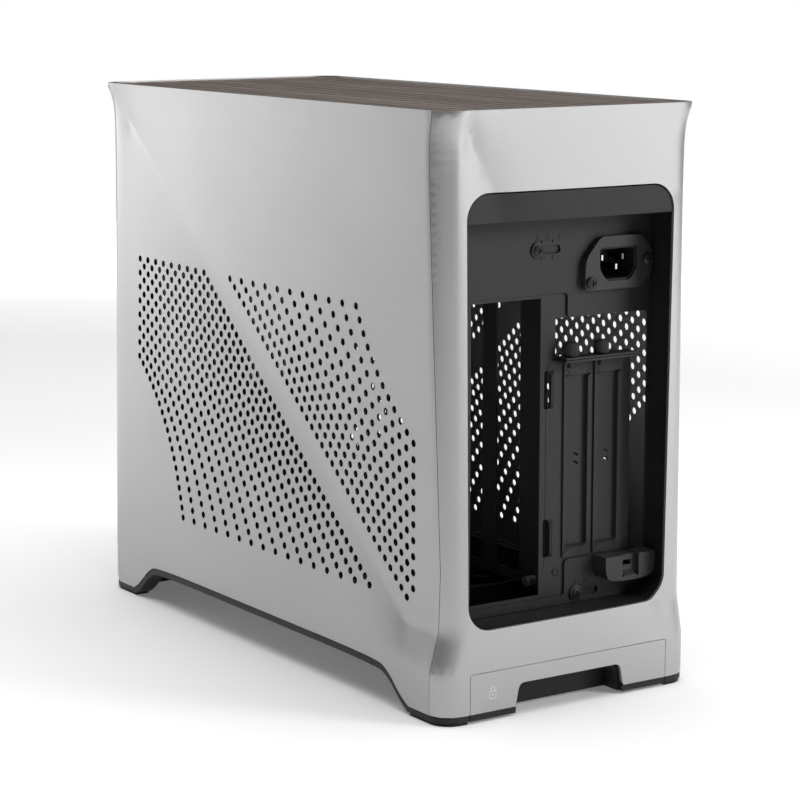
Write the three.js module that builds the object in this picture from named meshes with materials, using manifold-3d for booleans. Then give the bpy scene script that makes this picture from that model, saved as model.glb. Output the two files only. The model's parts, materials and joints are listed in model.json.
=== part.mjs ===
// A compact desktop computer case for a mini-ITX board, standing on its base.
// Millimetres, +Z up. X is the width, Y the length with the front at -Y, and the
// origin is on the floor under the centre of the case.

import * as THREE from 'three';
import Module from 'manifold-3d';
import { mergeVertices } from 'three/addons/utils/BufferGeometryUtils.js';

const wasm = await Module();
wasm.setup();

// ---- Driving dimensions ----------------------------------------------------

const HEIGHT = 314;            // floor to the rim
const HALF_WIDTH = 82.5;       // at the rim
const HALF_LENGTH = 183;       // at the rim
const SKIRT_TOP = 27;          // below this the shell is vertical
const SHELL_FOOT = 5;          // lowest edge of the shell
const SKIN = 1.8;              // aluminium panels
const SHEET = 1.2;             // steel sheet inside
const GAP = 0.3;               // clearance between neighbouring pieces
const CORNER_RADIUS = 12.5;    // vertical corners of the shell, in plan

// Each face is folded along a valley that runs down one of its diagonals.
const SIDE_FACE = { rim: HALF_WIDTH, valley: 77, skirt: 82 };
const REAR_FACE = { rim: HALF_LENGTH, valley: 179, skirt: HALF_LENGTH };
const FRONT_FACE = { rim: HALF_LENGTH, valley: 181.8, skirt: HALF_LENGTH };
const VALLEY_TOP = 303.5;
const VALLEY_BOTTOM = 48;
const TIP_START = 291;         // height of the valley where its edge begins to soften
const VALLEY_SOFTNESS = 0.6;
const TIP_SOFTNESS = 3.9;      // added where a side's valley runs out into a corner
const SIDE_VALLEY = { start: 183.3, length: 351.5 };
const END_VALLEY = { start: 68.5, length: 140.7 };

// Rear opening and the wall at the bottom of the recess behind it.
const OPENING = { halfWidth: 65.6, bottom: 48.1, top: 272.5, radius: 14 };
const WALL_REAR = 159.8;
const RECESS_HALF_WIDTH = 68.3;
const HEADER_BOTTOM = 257;
const HEADER_GAP = 0.8;        // dark line round the header strip

// Rear input and output opening of a mini-ITX board, and its expansion slots.
const IO_OPENING = { x0: 3.3, x1: 47.75, z0: 54.7, z1: 213.5 };
const SLOT_X = [-21, -41.3];
const SLOT_BOTTOM = 73.4;
const SLOT_TOP = 179.8;
const SCREW_OFFSET = 8.6;
const SPINE_TRAVEL = 13;
const SHELF_TOP = 181;

// The pull-out lock drawer in the rear of the base.
const DRAWER = { halfWidth: 64.3, top: 26, notchHalf: 36, notchTopHalf: 28.7, notchTop: 17.2 };

// Arch under each long side.
const ARCH = { halfTop: 125, halfFoot: 152, top: 23.8 };
const RING_THICKNESS = 4.3;

// Mains socket and its pins, and the two screws that set where the spine stands.
const INLET = { x: -43.8, z: 229.8 };
const PINS = [
  { dx: -6.9, dz: 2.4, tip: -1.4 },
  { dx: 6.9, dz: 2.4, tip: -1.4 },
  { dx: 0, dz: -2.3, tip: 1.8 },
];
const UPPER_ADJUSTER = { x: 7, z: 239 };
const LOWER_ADJUSTER = { x: -20.4, z: 53.2 };
const SPINE_REAR = WALL_REAR - 1 - GAP;

// Mini-ITX mounting holes: 157.48 apart along one side and 154.94 along the other.
const STANDOFFS = [[-5.6, 218], [149.3, 218], [-5.6, 60.6], [149.3, 60.6]];

const THUMBSCREW = { radius: 4, height: 7.7 };
const BUTTON = { x: 62, z: 96, radius: 6.2 };
const PORTS = { x0: 55, x1: 69, z0: 34, z1: 82 };

const FAN = { half: 60, depth: 25, bore: 57.5, hub: 20, centreY: [-61, 61], bottom: 28 };
const TOP_INSET = 3.6;
const TOP_THICKNESS = 4;
const TOP_SLOTS = { count: 14, pitch: 10.2, width: 3.2, halfLength: 168 };

// ---- Materials -------------------------------------------------------------

function finish(color, roughness, metalness) {
  return new THREE.MeshStandardMaterial({ color, roughness, metalness });
}

const silver = finish(0xc4c5c7, 0.38, 0.85);
const blackSteel = finish(0x2b2b2c, 0.6, 0.3);
const blackPlastic = finish(0x1b1b1c, 0.5, 0.0);
const greyPlastic = finish(0x3a3a3c, 0.5, 0.0);
const rubber = finish(0x111111, 0.9, 0.0);
const walnut = finish(0x6f5c4d, 0.6, 0.0);
const steel = finish(0xb4b4b0, 0.3, 1.0);
const mesh = finish(0x202020, 0.8, 0.0);

// ---- Solids ----------------------------------------------------------------

function toManifold(geometry) {
  const clean = geometry.clone();
  clean.deleteAttribute('normal');
  clean.deleteAttribute('uv');
  const merged = mergeVertices(clean, 1e-4);
  return new wasm.Manifold(new wasm.Mesh({
    numProp: 3,
    vertProperties: new Float32Array(merged.attributes.position.array),
    triVerts: new Uint32Array(merged.index.array),
  }));
}

function toGeometry(manifold) {
  const source = manifold.getMesh();
  const geometry = new THREE.BufferGeometry();
  geometry.setAttribute('position', new THREE.BufferAttribute(source.vertProperties, 3));
  geometry.setIndex(new THREE.BufferAttribute(source.triVerts, 1));
  geometry.computeVertexNormals();
  return geometry;
}

function join(first, ...others) {
  return others.reduce((sum, other) => sum.add(other), first);
}

function cut(first, ...others) {
  return others.reduce((rest, other) => rest.subtract(other), first);
}

function box(x0, x1, y0, y1, z0, z1) {
  const geometry = new THREE.BoxGeometry(x1 - x0, y1 - y0, z1 - z0);
  geometry.translate((x0 + x1) / 2, (y0 + y1) / 2, (z0 + z1) / 2);
  return toManifold(geometry);
}

function mirroredBox(side, x0, x1, y0, y1, z0, z1) {
  // A box on one side of the centre plane: x0 and x1 are distances from it.
  return side > 0 ? box(x0, x1, y0, y1, z0, z1) : box(-x1, -x0, y0, y1, z0, z1);
}

function rod(axis, radius, start, end, a, b, sides = 20) {
  // A round bar along an axis; a and b are its place on the other two axes, in order.
  const geometry = new THREE.CylinderGeometry(radius, radius, end - start, sides);
  const middle = (start + end) / 2;
  if (axis === 'x') geometry.rotateZ(Math.PI / 2).translate(middle, a, b);
  if (axis === 'y') geometry.translate(a, middle, b);
  if (axis === 'z') geometry.rotateX(Math.PI / 2).translate(a, b, middle);
  return toManifold(geometry);
}

function extrude(axis, shape, start, end, curveSegments = 3) {
  // Shape coordinates are the other two axes in order: YZ for x, XZ for y, XY for z.
  const depth = end - start;
  const geometry = new THREE.ExtrudeGeometry(shape, { depth, bevelEnabled: false, curveSegments });
  if (axis === 'x') {
    const basis = new THREE.Matrix4().set(0, 0, 1, start, 1, 0, 0, 0, 0, 1, 0, 0, 0, 0, 0, 1);
    geometry.applyMatrix4(basis);
  }
  if (axis === 'y') {
    const basis = new THREE.Matrix4().set(1, 0, 0, 0, 0, 0, -1, end, 0, 1, 0, 0, 0, 0, 0, 1);
    geometry.applyMatrix4(basis);
  }
  if (axis === 'z') geometry.translate(0, 0, start);
  return toManifold(geometry);
}

function polygon(points) {
  return new THREE.Shape(points.map(([a, b]) => new THREE.Vector2(a, b)));
}

function roundedRect(a0, a1, b0, b1, radius) {
  const shape = new THREE.Shape();
  shape.moveTo(a0 + radius, b0);
  shape.lineTo(a1 - radius, b0);
  shape.absarc(a1 - radius, b0 + radius, radius, -Math.PI / 2, 0);
  shape.lineTo(a1, b1 - radius);
  shape.absarc(a1 - radius, b1 - radius, radius, 0, Math.PI / 2);
  shape.lineTo(a0 + radius, b1);
  shape.absarc(a0 + radius, b1 - radius, radius, Math.PI / 2, Math.PI);
  shape.lineTo(a0, b0 + radius);
  shape.absarc(a0 + radius, b0 + radius, radius, Math.PI, Math.PI * 1.5);
  return shape;
}

function part(name, solid, material) {
  const item = new THREE.Mesh(toGeometry(solid), material);
  item.name = name;
  return item;
}

// ---- The folded shell surface ----------------------------------------------

function softMax(a, b, softness) {
  return (a + b + Math.hypot(a - b, softness)) / 2;
}

function faceOffset(face, valleyZ, z, tipSoftness) {
  // Distance of a face from the centre plane at height z.
  if (z <= SKIRT_TOP) return face.skirt;
  const foldZ = Math.min(VALLEY_TOP, Math.max(VALLEY_BOTTOM, valleyZ));
  const low = face.skirt + (face.valley - face.skirt) * (z - SKIRT_TOP) / (foldZ - SKIRT_TOP);
  const high = face.rim + (face.valley - face.rim) * (HEIGHT - z) / (HEIGHT - foldZ);
  const tip = THREE.MathUtils.clamp((valleyZ - TIP_START) / (VALLEY_TOP - TIP_START), 0, 1);
  const offset = softMax(low, high, VALLEY_SOFTNESS + tipSoftness * tip);
  return Math.min(offset, Math.max(face.rim, face.skirt));
}

function sideOffset(y, z, side) {
  // On the right side (+1) the valley falls from front to rear; the left side (-1) is the
  // same panel turned half a turn, so there it falls from rear to front.
  const run = (y * side + SIDE_VALLEY.start) / SIDE_VALLEY.length;
  return faceOffset(SIDE_FACE, HEIGHT - (HEIGHT - SKIRT_TOP) * run, z, TIP_SOFTNESS);
}

function endOffset(x, z, end) {
  const run = (END_VALLEY.start - x) / END_VALLEY.length;
  const face = end > 0 ? REAR_FACE : FRONT_FACE;
  return faceOffset(face, HEIGHT - (HEIGHT - SKIRT_TOP) * run, z, 0);
}

function cornerPoint(side, end, angle, z, inset) {
  // A point on a vertical corner: angle 0 is where the side face ends, 90 degrees the end face.
  const nearX = side * (HALF_WIDTH - CORNER_RADIUS);
  const nearY = end * (HALF_LENGTH - CORNER_RADIUS);
  const centreX = sideOffset(nearY, z, side) - CORNER_RADIUS;
  const centreY = endOffset(nearX, z, end) - CORNER_RADIUS;
  const radius = CORNER_RADIUS - inset;
  return [side * (centreX + radius * Math.cos(angle)), end * (centreY + radius * Math.sin(angle))];
}

function seamAngle(z) {
  // The vertical seam lies on the rounded corner, furthest round it at the waist.
  const low = THREE.MathUtils.degToRad(3);
  const waist = THREE.MathUtils.degToRad(19);
  const high = THREE.MathUtils.degToRad(11);
  if (z <= SKIRT_TOP) return low;
  if (z < 80) return low + (waist - low) * (z - SKIRT_TOP) / (80 - SKIRT_TOP);
  return waist + (high - waist) * (z - 80) / (HEIGHT - 80);
}

const PANEL_LEVELS = [SHELL_FOOT, SKIRT_TOP, 38, 50, 70, 100, 140, 180, 220, 256, 276, 288, 296,
  VALLEY_TOP, 309, HEIGHT];

function bendSlab(columns, locate) {
  // A box whose vertices are moved onto the shell: locate(column, z, inset) gives X and Y.
  const rows = PANEL_LEVELS.length - 1;
  const geometry = new THREE.BoxGeometry(columns, rows, 1, columns, rows, 1);
  const position = geometry.attributes.position;
  for (let i = 0; i < position.count; i += 1) {
    const column = Math.round(position.getX(i) + columns / 2);
    const z = PANEL_LEVELS[Math.round(position.getY(i) + rows / 2)];
    const inset = position.getZ(i) > 0 ? 0 : SKIN;
    const [x, y] = locate(column, z, inset);
    position.setXYZ(i, x, y, z);
  }
  return geometry;
}

function archCurve(drop) {
  // The underside of a long side, from floor level to the flat top of the arch.
  const { halfTop, halfFoot, top } = ARCH;
  const foot = SHELL_FOOT - drop;
  const crest = top - drop;
  return [[-halfFoot, foot], [-halfFoot + 8, foot + 4.5], [-halfTop - 7, crest - 3.5], [-halfTop + 4, crest],
    [halfTop - 4, crest], [halfTop + 7, crest - 3.5], [halfFoot - 8, foot + 4.5], [halfFoot, foot]];
}

function archCutter(drop) {
  // Everything below the arch, right through the case.
  const outline = [[ARCH.halfFoot, -5], ...archCurve(drop).reverse(), [-ARCH.halfFoot, -5]];
  return extrude('x', polygon(outline), -100, 100);
}

// ---- Shell panels ----------------------------------------------------------

function sidePanel(name, side) {
  const arcSteps = 2;
  const flatSteps = 12;
  const columns = flatSteps + 2 * arcSteps;
  const halfFlat = HALF_LENGTH - CORNER_RADIUS;
  const slack = GAP / 2 / CORNER_RADIUS;
  const locate = (column, z, inset) => {
    const fromEnd = Math.min(column, columns - column);
    const end = column < columns / 2 ? -1 : 1;
    if (fromEnd < arcSteps) {
      const angle = (seamAngle(z) - slack) * (1 - fromEnd / arcSteps);
      return cornerPoint(side, end, angle, z, inset);
    }
    const y = THREE.MathUtils.lerp(-halfFlat, halfFlat, (column - arcSteps) / flatSteps);
    const blend = Math.abs(y) / halfFlat;
    const straight = side * (sideOffset(y, z, side) - inset);
    const [, cornerY] = cornerPoint(side, Math.sign(y) || 1, 0, z, inset);
    return [straight, blend === 1 ? cornerY : y];
  };
  let slab = bendSlab(columns, locate);
  if (side < 0) slab = flipped(slab);
  return part(name, cut(toManifold(slab), archCutter(0)), silver);
}

function flipped(geometry) {
  const index = geometry.index.array;
  for (let i = 0; i < index.length; i += 3) [index[i], index[i + 1]] = [index[i + 1], index[i]];
  return geometry;
}

function endPanel(end) {
  // A front or rear panel, wrapping round both corners to the seams.
  const arcSteps = 4;
  const flatSteps = 6;
  const columns = flatSteps + 2 * arcSteps;
  const halfFlat = HALF_WIDTH - CORNER_RADIUS;
  const slack = GAP / 2 / CORNER_RADIUS;
  const locate = (column, z, inset) => {
    const fromEnd = Math.min(column, columns - column);
    const side = column < columns / 2 ? end : -end;
    if (fromEnd <= arcSteps) {
      const seam = seamAngle(z) + slack;
      const angle = seam + (Math.PI / 2 - seam) * (fromEnd / arcSteps);
      return cornerPoint(side, end, angle, z, inset);
    }
    const across = (column - arcSteps) / flatSteps;
    const x = THREE.MathUtils.lerp(end * halfFlat, -end * halfFlat, across);
    return [x * 0.985, end * (endOffset(x, z, end) - inset)];
  };
  return toManifold(bendSlab(columns, locate));
}

function openingShape(grow) {
  const { halfWidth, bottom, top, radius } = OPENING;
  return roundedRect(-halfWidth - grow, halfWidth + grow, bottom - grow, top + grow, radius + grow);
}

function drawerOutline(grow) {
  const { halfWidth, top } = DRAWER;
  return roundedRect(-halfWidth - grow, halfWidth + grow, -10, top + grow, 1.5);
}

function rearPanel() {
  const opening = extrude('y', openingShape(0), 150, 200);
  const drawer = extrude('y', drawerOutline(GAP), 150, 200);
  return part('rear_panel', cut(endPanel(1), opening, drawer), silver);
}

function frontPanel() {
  const button = rod('y', BUTTON.radius + 0.4, -200, -150, BUTTON.x, BUTTON.z, 24);
  const ports = extrude('y', roundedRect(PORTS.x0, PORTS.x1, PORTS.z0, PORTS.z1, 2.5), -200, -150);
  return part('front_panel', cut(endPanel(-1), button, ports), silver);
}

function rearHeader() {
  // The dark strip that closes the top of the rear opening, nearly flush with the panel.
  const outline = openingShape(-HEADER_GAP);
  const strip = extrude('y', outline, 177.6, 180);
  const below = box(-100, 100, 170, 190, 0, HEADER_BOTTOM);
  return part('rear_header', cut(strip, below), blackPlastic);
}

// ---- Base ------------------------------------------------------------------

function planRect(inset) {
  const radius = Math.max(1, CORNER_RADIUS - inset);
  const x = SIDE_FACE.skirt - inset;
  const y = HALF_LENGTH - inset;
  return roundedRect(-x, x, -y, y, radius);
}

function notchShape(grow) {
  const { notchHalf, notchTopHalf, notchTop } = DRAWER;
  const top = notchTop + grow;
  const shape = new THREE.Shape();
  shape.moveTo(-notchHalf - grow, -10);
  shape.lineTo(notchHalf + grow, -10);
  shape.lineTo(notchHalf + grow - 1, 7);
  shape.quadraticCurveTo(notchHalf + grow - 2, top, notchTopHalf + grow, top);
  shape.lineTo(-notchTopHalf - grow, top);
  shape.quadraticCurveTo(-notchHalf - grow + 2, top, -notchHalf - grow + 1, 7);
  return shape;
}

function baseRing() {
  const outer = extrude('z', planRect(0.3), 1.5, 25);
  const inner = extrude('z', planRect(11), 0, 30);
  const aboveEdge = cut(box(-100, 100, -200, 200, SHELL_FOOT - GAP, 60), archCutter(GAP));
  const skinZone = cut(aboveEdge, extrude('z', planRect(SKIN + 0.5), -10, 80));
  const drawerBay = box(-DRAWER.halfWidth - GAP, DRAWER.halfWidth + GAP, 150, 200, -5, 60);
  return part('base_ring', cut(outer, inner, archCutter(RING_THICKNESS), skinZone, drawerBay), blackPlastic);
}

function footPad(index) {
  const side = index % 2 ? 1 : -1;
  const end = index < 2 ? -1 : 1;
  const ring = cut(extrude('z', planRect(1.2), 0, 1.2), extrude('z', planRect(10), -5, 5));
  const x0 = end > 0 ? DRAWER.halfWidth + 1 : 36;
  const [y0, y1] = end > 0 ? [152, 190] : [-190, -152];
  const corner = mirroredBox(side, x0, 90, y0, y1, -2, 4);
  return part(`foot_pad_${index + 1}`, ring.intersect(corner), rubber);
}

function floorTray() {
  const plate = roundedRect(-75, 75, -174, 158, 4);
  for (const y of FAN.centreY) {
    const hole = new THREE.Path();
    hole.absarc(0, y, FAN.bore, 0, Math.PI * 2, true);
    plate.holes.push(hole);
  }
  return part('floor_tray', extrude('z', plate, 25.4, 25.4 + SHEET, 9), blackSteel);
}

function dustFilter() {
  const frame = roundedRect(-64, 64, -124, 124, 4);
  const windows = FAN.centreY.map((y) => box(-60, 60, y - 56, y + 56, 0, 40));
  return part('dust_filter_frame', cut(extrude('z', frame, 21.4, 24.6), ...windows), blackPlastic);
}

function filterMesh(index) {
  const y = FAN.centreY[index];
  return part(`filter_mesh_${index + 1}`, box(-59.7, 59.7, y - 55.7, y + 55.7, 22.6, 23.4), mesh);
}

function drawerFront() {
  const { halfWidth, top } = DRAWER;
  const outline = roundedRect(-halfWidth, halfWidth, SHELL_FOOT, top, 1.2);
  const face = extrude('y', outline, HALF_LENGTH - SKIN, HALF_LENGTH);
  return part('drawer_front', cut(face, extrude('y', notchShape(0), 150, 200)), silver);
}

function drawerTray() {
  // Black tray behind the drawer front: a lined finger notch, a cross bar and two lock arms.
  const { halfWidth } = DRAWER;
  const rear = HALF_LENGTH - SKIN - GAP;
  const block = box(-halfWidth, halfWidth, 166, rear, 1.5, 24.6);
  const edge = box(-halfWidth, halfWidth, rear - 3, HALF_LENGTH - GAP, 1.5, SHELL_FOOT - GAP);
  const hollow = extrude('y', notchShape(-1.2), 168.2, 200);
  const throughNotch = extrude('y', notchShape(0), rear - 1.2, 200);
  const bar = box(-34, 34, 166, 168.2, 1.5, 9);
  const arms = [box(-64, -50, 145, 166.5, 20.6, 24.6), box(50, 64, 145, 166.5, 20.6, 24.6)];
  return part('drawer_tray', join(cut(join(block, edge), hollow, throughNotch), bar, ...arms), blackPlastic);
}

// ---- Chassis ---------------------------------------------------------------

function fixedWallOpening() {
  // Clearance for the sliding spine: the board's connectors and the expansion slots.
  const edge = RECESS_HALF_WIDTH - 1;
  return polygon([[56, 52.8], [56, 215.6], [-10.5, 215.6], [-13.3, 213.2], [-13.3, 202.4], [-edge, 202.4],
    [-edge, 72.2], [-15.6, 72.2], [-13, 69.8], [-13, 52.8]]);
}

function adjusterSlot(x, z) {
  return roundedRect(x - SPINE_TRAVEL - 2.2, x + 2.2, z - 2.2, z + 2.2, 2.19);
}

function inletOutline(x, z, grow) {
  const w = 12.6 + grow;
  const top = 8.6 + grow;
  return polygon([[x - w, z + top], [x - w, z - 3], [x - 7.6, z - 9.6 - grow], [x + 7.6, z - 9.6 - grow],
    [x + w, z - 3], [x + w, z + top]]);
}

function fixedWall() {
  const half = RECESS_HALF_WIDTH + 6;
  const plate = extrude('y', roundedRect(-half, half, 48, 262, 3), WALL_REAR - 1, WALL_REAR);
  const cuts = [fixedWallOpening(), adjusterSlot(UPPER_ADJUSTER.x, UPPER_ADJUSTER.z),
    adjusterSlot(LOWER_ADJUSTER.x, LOWER_ADJUSTER.z), inletOutline(INLET.x, INLET.z, 1)];
  const bores = inletScrewPlaces().map(([x, z]) => rod('y', 1.8, 150, 170, x, z, 10));
  const openings = cuts.map((shape) => extrude('y', shape, 150, 170));
  return part('rear_wall', cut(plate, ...openings, ...bores), blackSteel);
}

function recessLiner() {
  // Tunnel from the rear opening in to the wall.
  const half = RECESS_HALF_WIDTH;
  const outer = extrude('y', roundedRect(-half - 1, half + 1, 46.6, 274, 15), WALL_REAR + GAP, 177.2);
  const inner = extrude('y', roundedRect(-half, half, 47.8, 272.8, 14), 150, 190);
  return part('recess_liner', cut(outer, inner), blackPlastic);
}

function chassisFrame() {
  // Two portal frames joined by four long rails; everything inside hangs on it.
  const posts = [];
  for (const side of [-1, 1]) {
    for (const y of [-172, 144]) {
      // The rear post of the card chamber is left open where the wall's window is.
      const spans = side < 0 && y > 0 ? [[26.9, 66], [208, 262]] : [[26.9, 262]];
      spans.forEach(([z0, z1]) => posts.push(mirroredBox(side, 70, 74, y, y + 12, z0, z1)));
    }
    posts.push(mirroredBox(side, 72.8, 74, -172, 156, 248, 262));
    posts.push(mirroredBox(side, 72.8, 74, -172, 156, 32.6, 44));
  }
  const frontTie = box(-74, 74, -172, -170.8, 236, 262);
  const frontFoot = box(-74, 74, -172, -170.8, 26.9, 44);
  const rearTie = box(-74, 74, 154.8, 156, 250, 262);
  return part('chassis_frame', join(...posts, frontTie, frontFoot, rearTie), blackSteel);
}

function topBracket() {
  // Tray that the radiator or top fans are screwed to.
  const plate = roundedRect(-73, 73, -171, 157, 4);
  for (const y of FAN.centreY) {
    const hole = new THREE.Path();
    hole.absarc(0, y, 60, 0, Math.PI * 2, true);
    plate.holes.push(hole);
  }
  return part('top_bracket', extrude('z', plate, 262.4, 262.4 + SHEET, 9), blackSteel);
}

function frontWall() {
  const plate = extrude('y', roundedRect(-72, 72, 48, 300, 4), -176, -176 + SHEET);
  const window = extrude('y', roundedRect(-50, 50, 120, 280, 6), -190, -150);
  return part('front_wall', cut(plate, window), blackSteel);
}

function rimFrame() {
  // Black frame under the rim that the walnut top drops into.
  const ring = cut(extrude('z', planRect(9), 300.5, 303), extrude('z', planRect(20), 290, 310));
  const legs = [];
  for (const side of [-1, 1]) {
    for (const y of [-160, 146]) {
      legs.push(mirroredBox(side, 66, 72.4, y, y + 10, 263.9, 301));
    }
  }
  return part('rim_frame', join(ring, ...legs), blackPlastic);
}

// ---- Fans in the base ------------------------------------------------------

function fanFrame(name) {
  const plan = roundedRect(-FAN.half, FAN.half, -FAN.half, FAN.half, 5);
  const bore = new THREE.Path();
  bore.absarc(0, 0, FAN.bore, 0, Math.PI * 2, true);
  plan.holes.push(bore);
  const shell = extrude('z', plan, 0, FAN.depth, 8);
  const hub = rod('z', FAN.hub, FAN.depth - 4, FAN.depth, 0, 0, 16);
  const struts = [45, 135].map((angle) => {
    const geometry = new THREE.BoxGeometry(2 * FAN.bore + 3, 3.2, 3.2);
    geometry.rotateZ(THREE.MathUtils.degToRad(angle)).translate(0, 0, FAN.depth - 2);
    return toManifold(geometry);
  });
  return part(name, join(shell, hub, ...struts), blackPlastic);
}

function fanRotor(name) {
  const blades = [];
  for (let i = 0; i < 7; i += 1) {
    const blade = new THREE.BoxGeometry(36, 1.6, 26, 1, 1, 1);
    blade.rotateX(THREE.MathUtils.degToRad(52));
    blade.translate(37, 0, 0).rotateZ(i * Math.PI * 2 / 7);
    blades.push(toManifold(blade));
  }
  const hub = rod('z', FAN.hub, -9, 9, 0, 0, 18);
  return part(name, join(hub, ...blades), blackPlastic);
}

// ---- Walnut top ------------------------------------------------------------

function topPanel() {
  const x = HALF_WIDTH - TOP_INSET;
  const y = HALF_LENGTH - TOP_INSET;
  const plank = roundedRect(-x, x, -y, y, CORNER_RADIUS - TOP_INSET);
  for (let i = 0; i < TOP_SLOTS.count; i += 1) {
    const centre = (i - (TOP_SLOTS.count - 1) / 2) * TOP_SLOTS.pitch;
    const half = TOP_SLOTS.width / 2;
    const reach = TOP_SLOTS.halfLength;
    const slot = roundedRect(centre - half, centre + half, -reach, reach, half - 0.01);
    plank.holes.push(new THREE.Path(slot.getPoints(1).reverse()));
  }
  return part('top_panel', extrude('z', plank, HEIGHT - 0.6 - TOP_THICKNESS, HEIGHT - 0.6), walnut);
}

function topCarrier() {
  // Black frame glued under the walnut, with a cross bar and the catches.
  const z1 = HEIGHT - 0.6 - TOP_THICKNESS - GAP;
  const ring = cut(extrude('z', planRect(8), z1 - 2.4, z1), extrude('z', planRect(14), 250, 320));
  const bars = [-80, 0, 80].map((y) => box(-72, 72, y - 3, y + 3, z1 - 2.4, z1));
  return part('top_carrier', join(ring, ...bars), blackPlastic);
}

// ---- Mains inlet -----------------------------------------------------------

function inletHousing() {
  const { x, z } = INLET;
  const flange = polygon([[x + 12, z + 14.4], [x - 15, z + 14.4], [x - 22.8, z + 6], [x - 22.2, z - 7],
    [x - 15.5, z - 14], [x + 14, z - 14], [x + 22, z - 12], [x + 21.6, z + 3.2]]);
  const body = join(extrude('y', flange, WALL_REAR + 0.2, WALL_REAR + 4),
    extrude('y', inletOutline(x, z, 0.6), WALL_REAR - 18, WALL_REAR + 1));
  const socket = extrude('y', inletOutline(x, z, -1), WALL_REAR - 14, WALL_REAR + 10);
  const pinHoles = PINS.map(({ dx, dz }) => rod('y', 1.9, WALL_REAR - 30, WALL_REAR, x + dx, z + dz, 8));
  const screwHoles = inletScrewPlaces().map(([sx, sz]) => rod('y', 1.8, 150, 170, sx, sz, 10));
  return part('ac_inlet', cut(body, socket, ...pinHoles, ...screwHoles), greyPlastic);
}

function inletScrewPlaces() {
  return [[INLET.x + 18.4, INLET.z - 9.6], [INLET.x - 19, INLET.z + 0.9]];
}

function inletPin(index) {
  // The earth pin, last of the three, reaches further out than the other two.
  const { dx, dz, tip } = PINS[index];
  const solid = box(INLET.x + dx - 0.5, INLET.x + dx + 0.5, WALL_REAR - 17, WALL_REAR + tip,
    INLET.z + dz - 1.4, INLET.z + dz + 1.4);
  return part(`inlet_pin_${index + 1}`, solid, steel);
}

function screw(name, x, y, z, headRadius, washerRadius) {
  // A cross-head screw pointing into the case; y is the face that its head bears on.
  const parts = [rod('y', 1.5, y - 5, y + 1, x, z, 10), rod('y', headRadius, y + 0.2, y + 2.2, x, z, 14)];
  if (washerRadius) parts.push(rod('y', washerRadius, y + 0.2, y + 1, x, z, 16));
  const cross = [box(x - 2, x + 2, y + 1.3, y + 5, z - 0.4, z + 0.4),
    box(x - 0.4, x + 0.4, y + 1.3, y + 5, z - 2, z + 2)];
  return part(name, cut(join(...parts), ...cross), blackSteel);
}

function powerSupplyBracket() {
  const plate = extrude('y', roundedRect(-69, 69, 60, 236, 4), -48, -48 + SHEET);
  const bay = extrude('y', roundedRect(-60, 3.5, 86, 211, 3), -60, -40);
  const vent = extrude('y', roundedRect(16, 60, 80, 216, 4), -60, -40);
  const flanges = [-1, 1].map((side) => mirroredBox(side, 67.8, 69, -66, -47, 66, 230));
  return part('psu_bracket', cut(join(plate, ...flanges), bay, vent), blackSteel);
}

// ---- Sliding spine ---------------------------------------------------------

function spinePlate() {
  const front = SPINE_REAR - SHEET;
  // A tab beside the window reaches in behind the wall and slides there.
  const outline = polygon([[54, 50.8], [54, 222], [14, 222], [14, 247], [-7.5, 247], [-7.5, 219],
    [-14.6, 219], [-14.6, 202.3], [-6.4, 202.3], [-6.4, 181], [-57, 181], [-57, 66], [-35, 66],
    [-35, 46.6], [-8, 46.6], [-8, 50.8]]);
  const { x0, x1, z0, z1 } = IO_OPENING;
  const io = extrude('y', polygon([[x0, z0], [x1, z0], [x1, z1], [x0, z1]]), 150, 170);
  const slots = SLOT_X.map((x) => box(x - 6.8, x + 6.8, 150, 170, 78, 172));
  const shelf = box(-54, -5.4, SPINE_REAR - 0.5, SPINE_REAR + 10.5, SHELF_TOP - SHEET, SHELF_TOP);
  const bores = SLOT_X.map((x) => rod('z', 2.2, 170, 185, x + SCREW_OFFSET, SPINE_REAR + 5.6, 12));
  const lances = [164.7, 84.9].map((z) => box(-4.4, -1.6, 150, 170, z - 10, z + 10));
  const screwBores = [UPPER_ADJUSTER, LOWER_ADJUSTER].map(({ x, z }) => rod('y', 1.8, 150, 170, x, z, 12));
  const plate = extrude('y', outline, front, SPINE_REAR);
  const solid = cut(join(plate, shelf), io, ...slots, ...bores, ...lances, ...screwBores);
  return part('spine_plate', solid, blackSteel);
}

function spineTray() {
  // The board's tray: a sheet between the two chambers with large windows.
  const sheet = extrude('x', roundedRect(-24, SPINE_REAR - SHEET - GAP, 57, 236, 5), -2.4, -2.4 + SHEET);
  const places = [[-12, 40, 78, 214], [48, 100.5, 62, 214], [113, 134.8, 62, 214]];
  const windows = places.map(([y0, y1, z0, z1]) => extrude('x', roundedRect(y0, y1, z0, z1, 4), -10, 10));
  const pads = STANDOFFS.map(([y, z]) => rod('x', 5, -2.4, -2.4 + SHEET, y, z, 16));
  const webs = [box(-2.4, -2.4 + SHEET, 26, 56, 62, 76), box(-2.4, -2.4 + SHEET, 100, 157, 214, 222)];
  return part('spine_tray', join(cut(sheet, ...windows), ...pads, ...webs), blackSteel);
}

function standoff(index) {
  const [y, z] = STANDOFFS[index];
  const post = cut(rod('x', 2.9, -2.4 + SHEET + GAP, 5.2, y, z, 6), rod('x', 1.3, 1, 8, y, z, 8));
  return part(`standoff_${index + 1}`, post, steel);
}

function slotCover(index) {
  const x = SLOT_X[index];
  const rear = SPINE_REAR + 0.2;
  const blade = box(x - 9.3, x + 9.3, rear, rear + 0.9, SLOT_BOTTOM, SLOT_TOP - GAP);
  const marks = [box(x - 2, x + 1.2, 150, 170, 128, 129.6), box(x - 2, x + 1.2, 150, 170, 122, 123.6)];
  return part(`slot_cover_${index + 1}`, cut(blade, ...marks), blackSteel);
}

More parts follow.
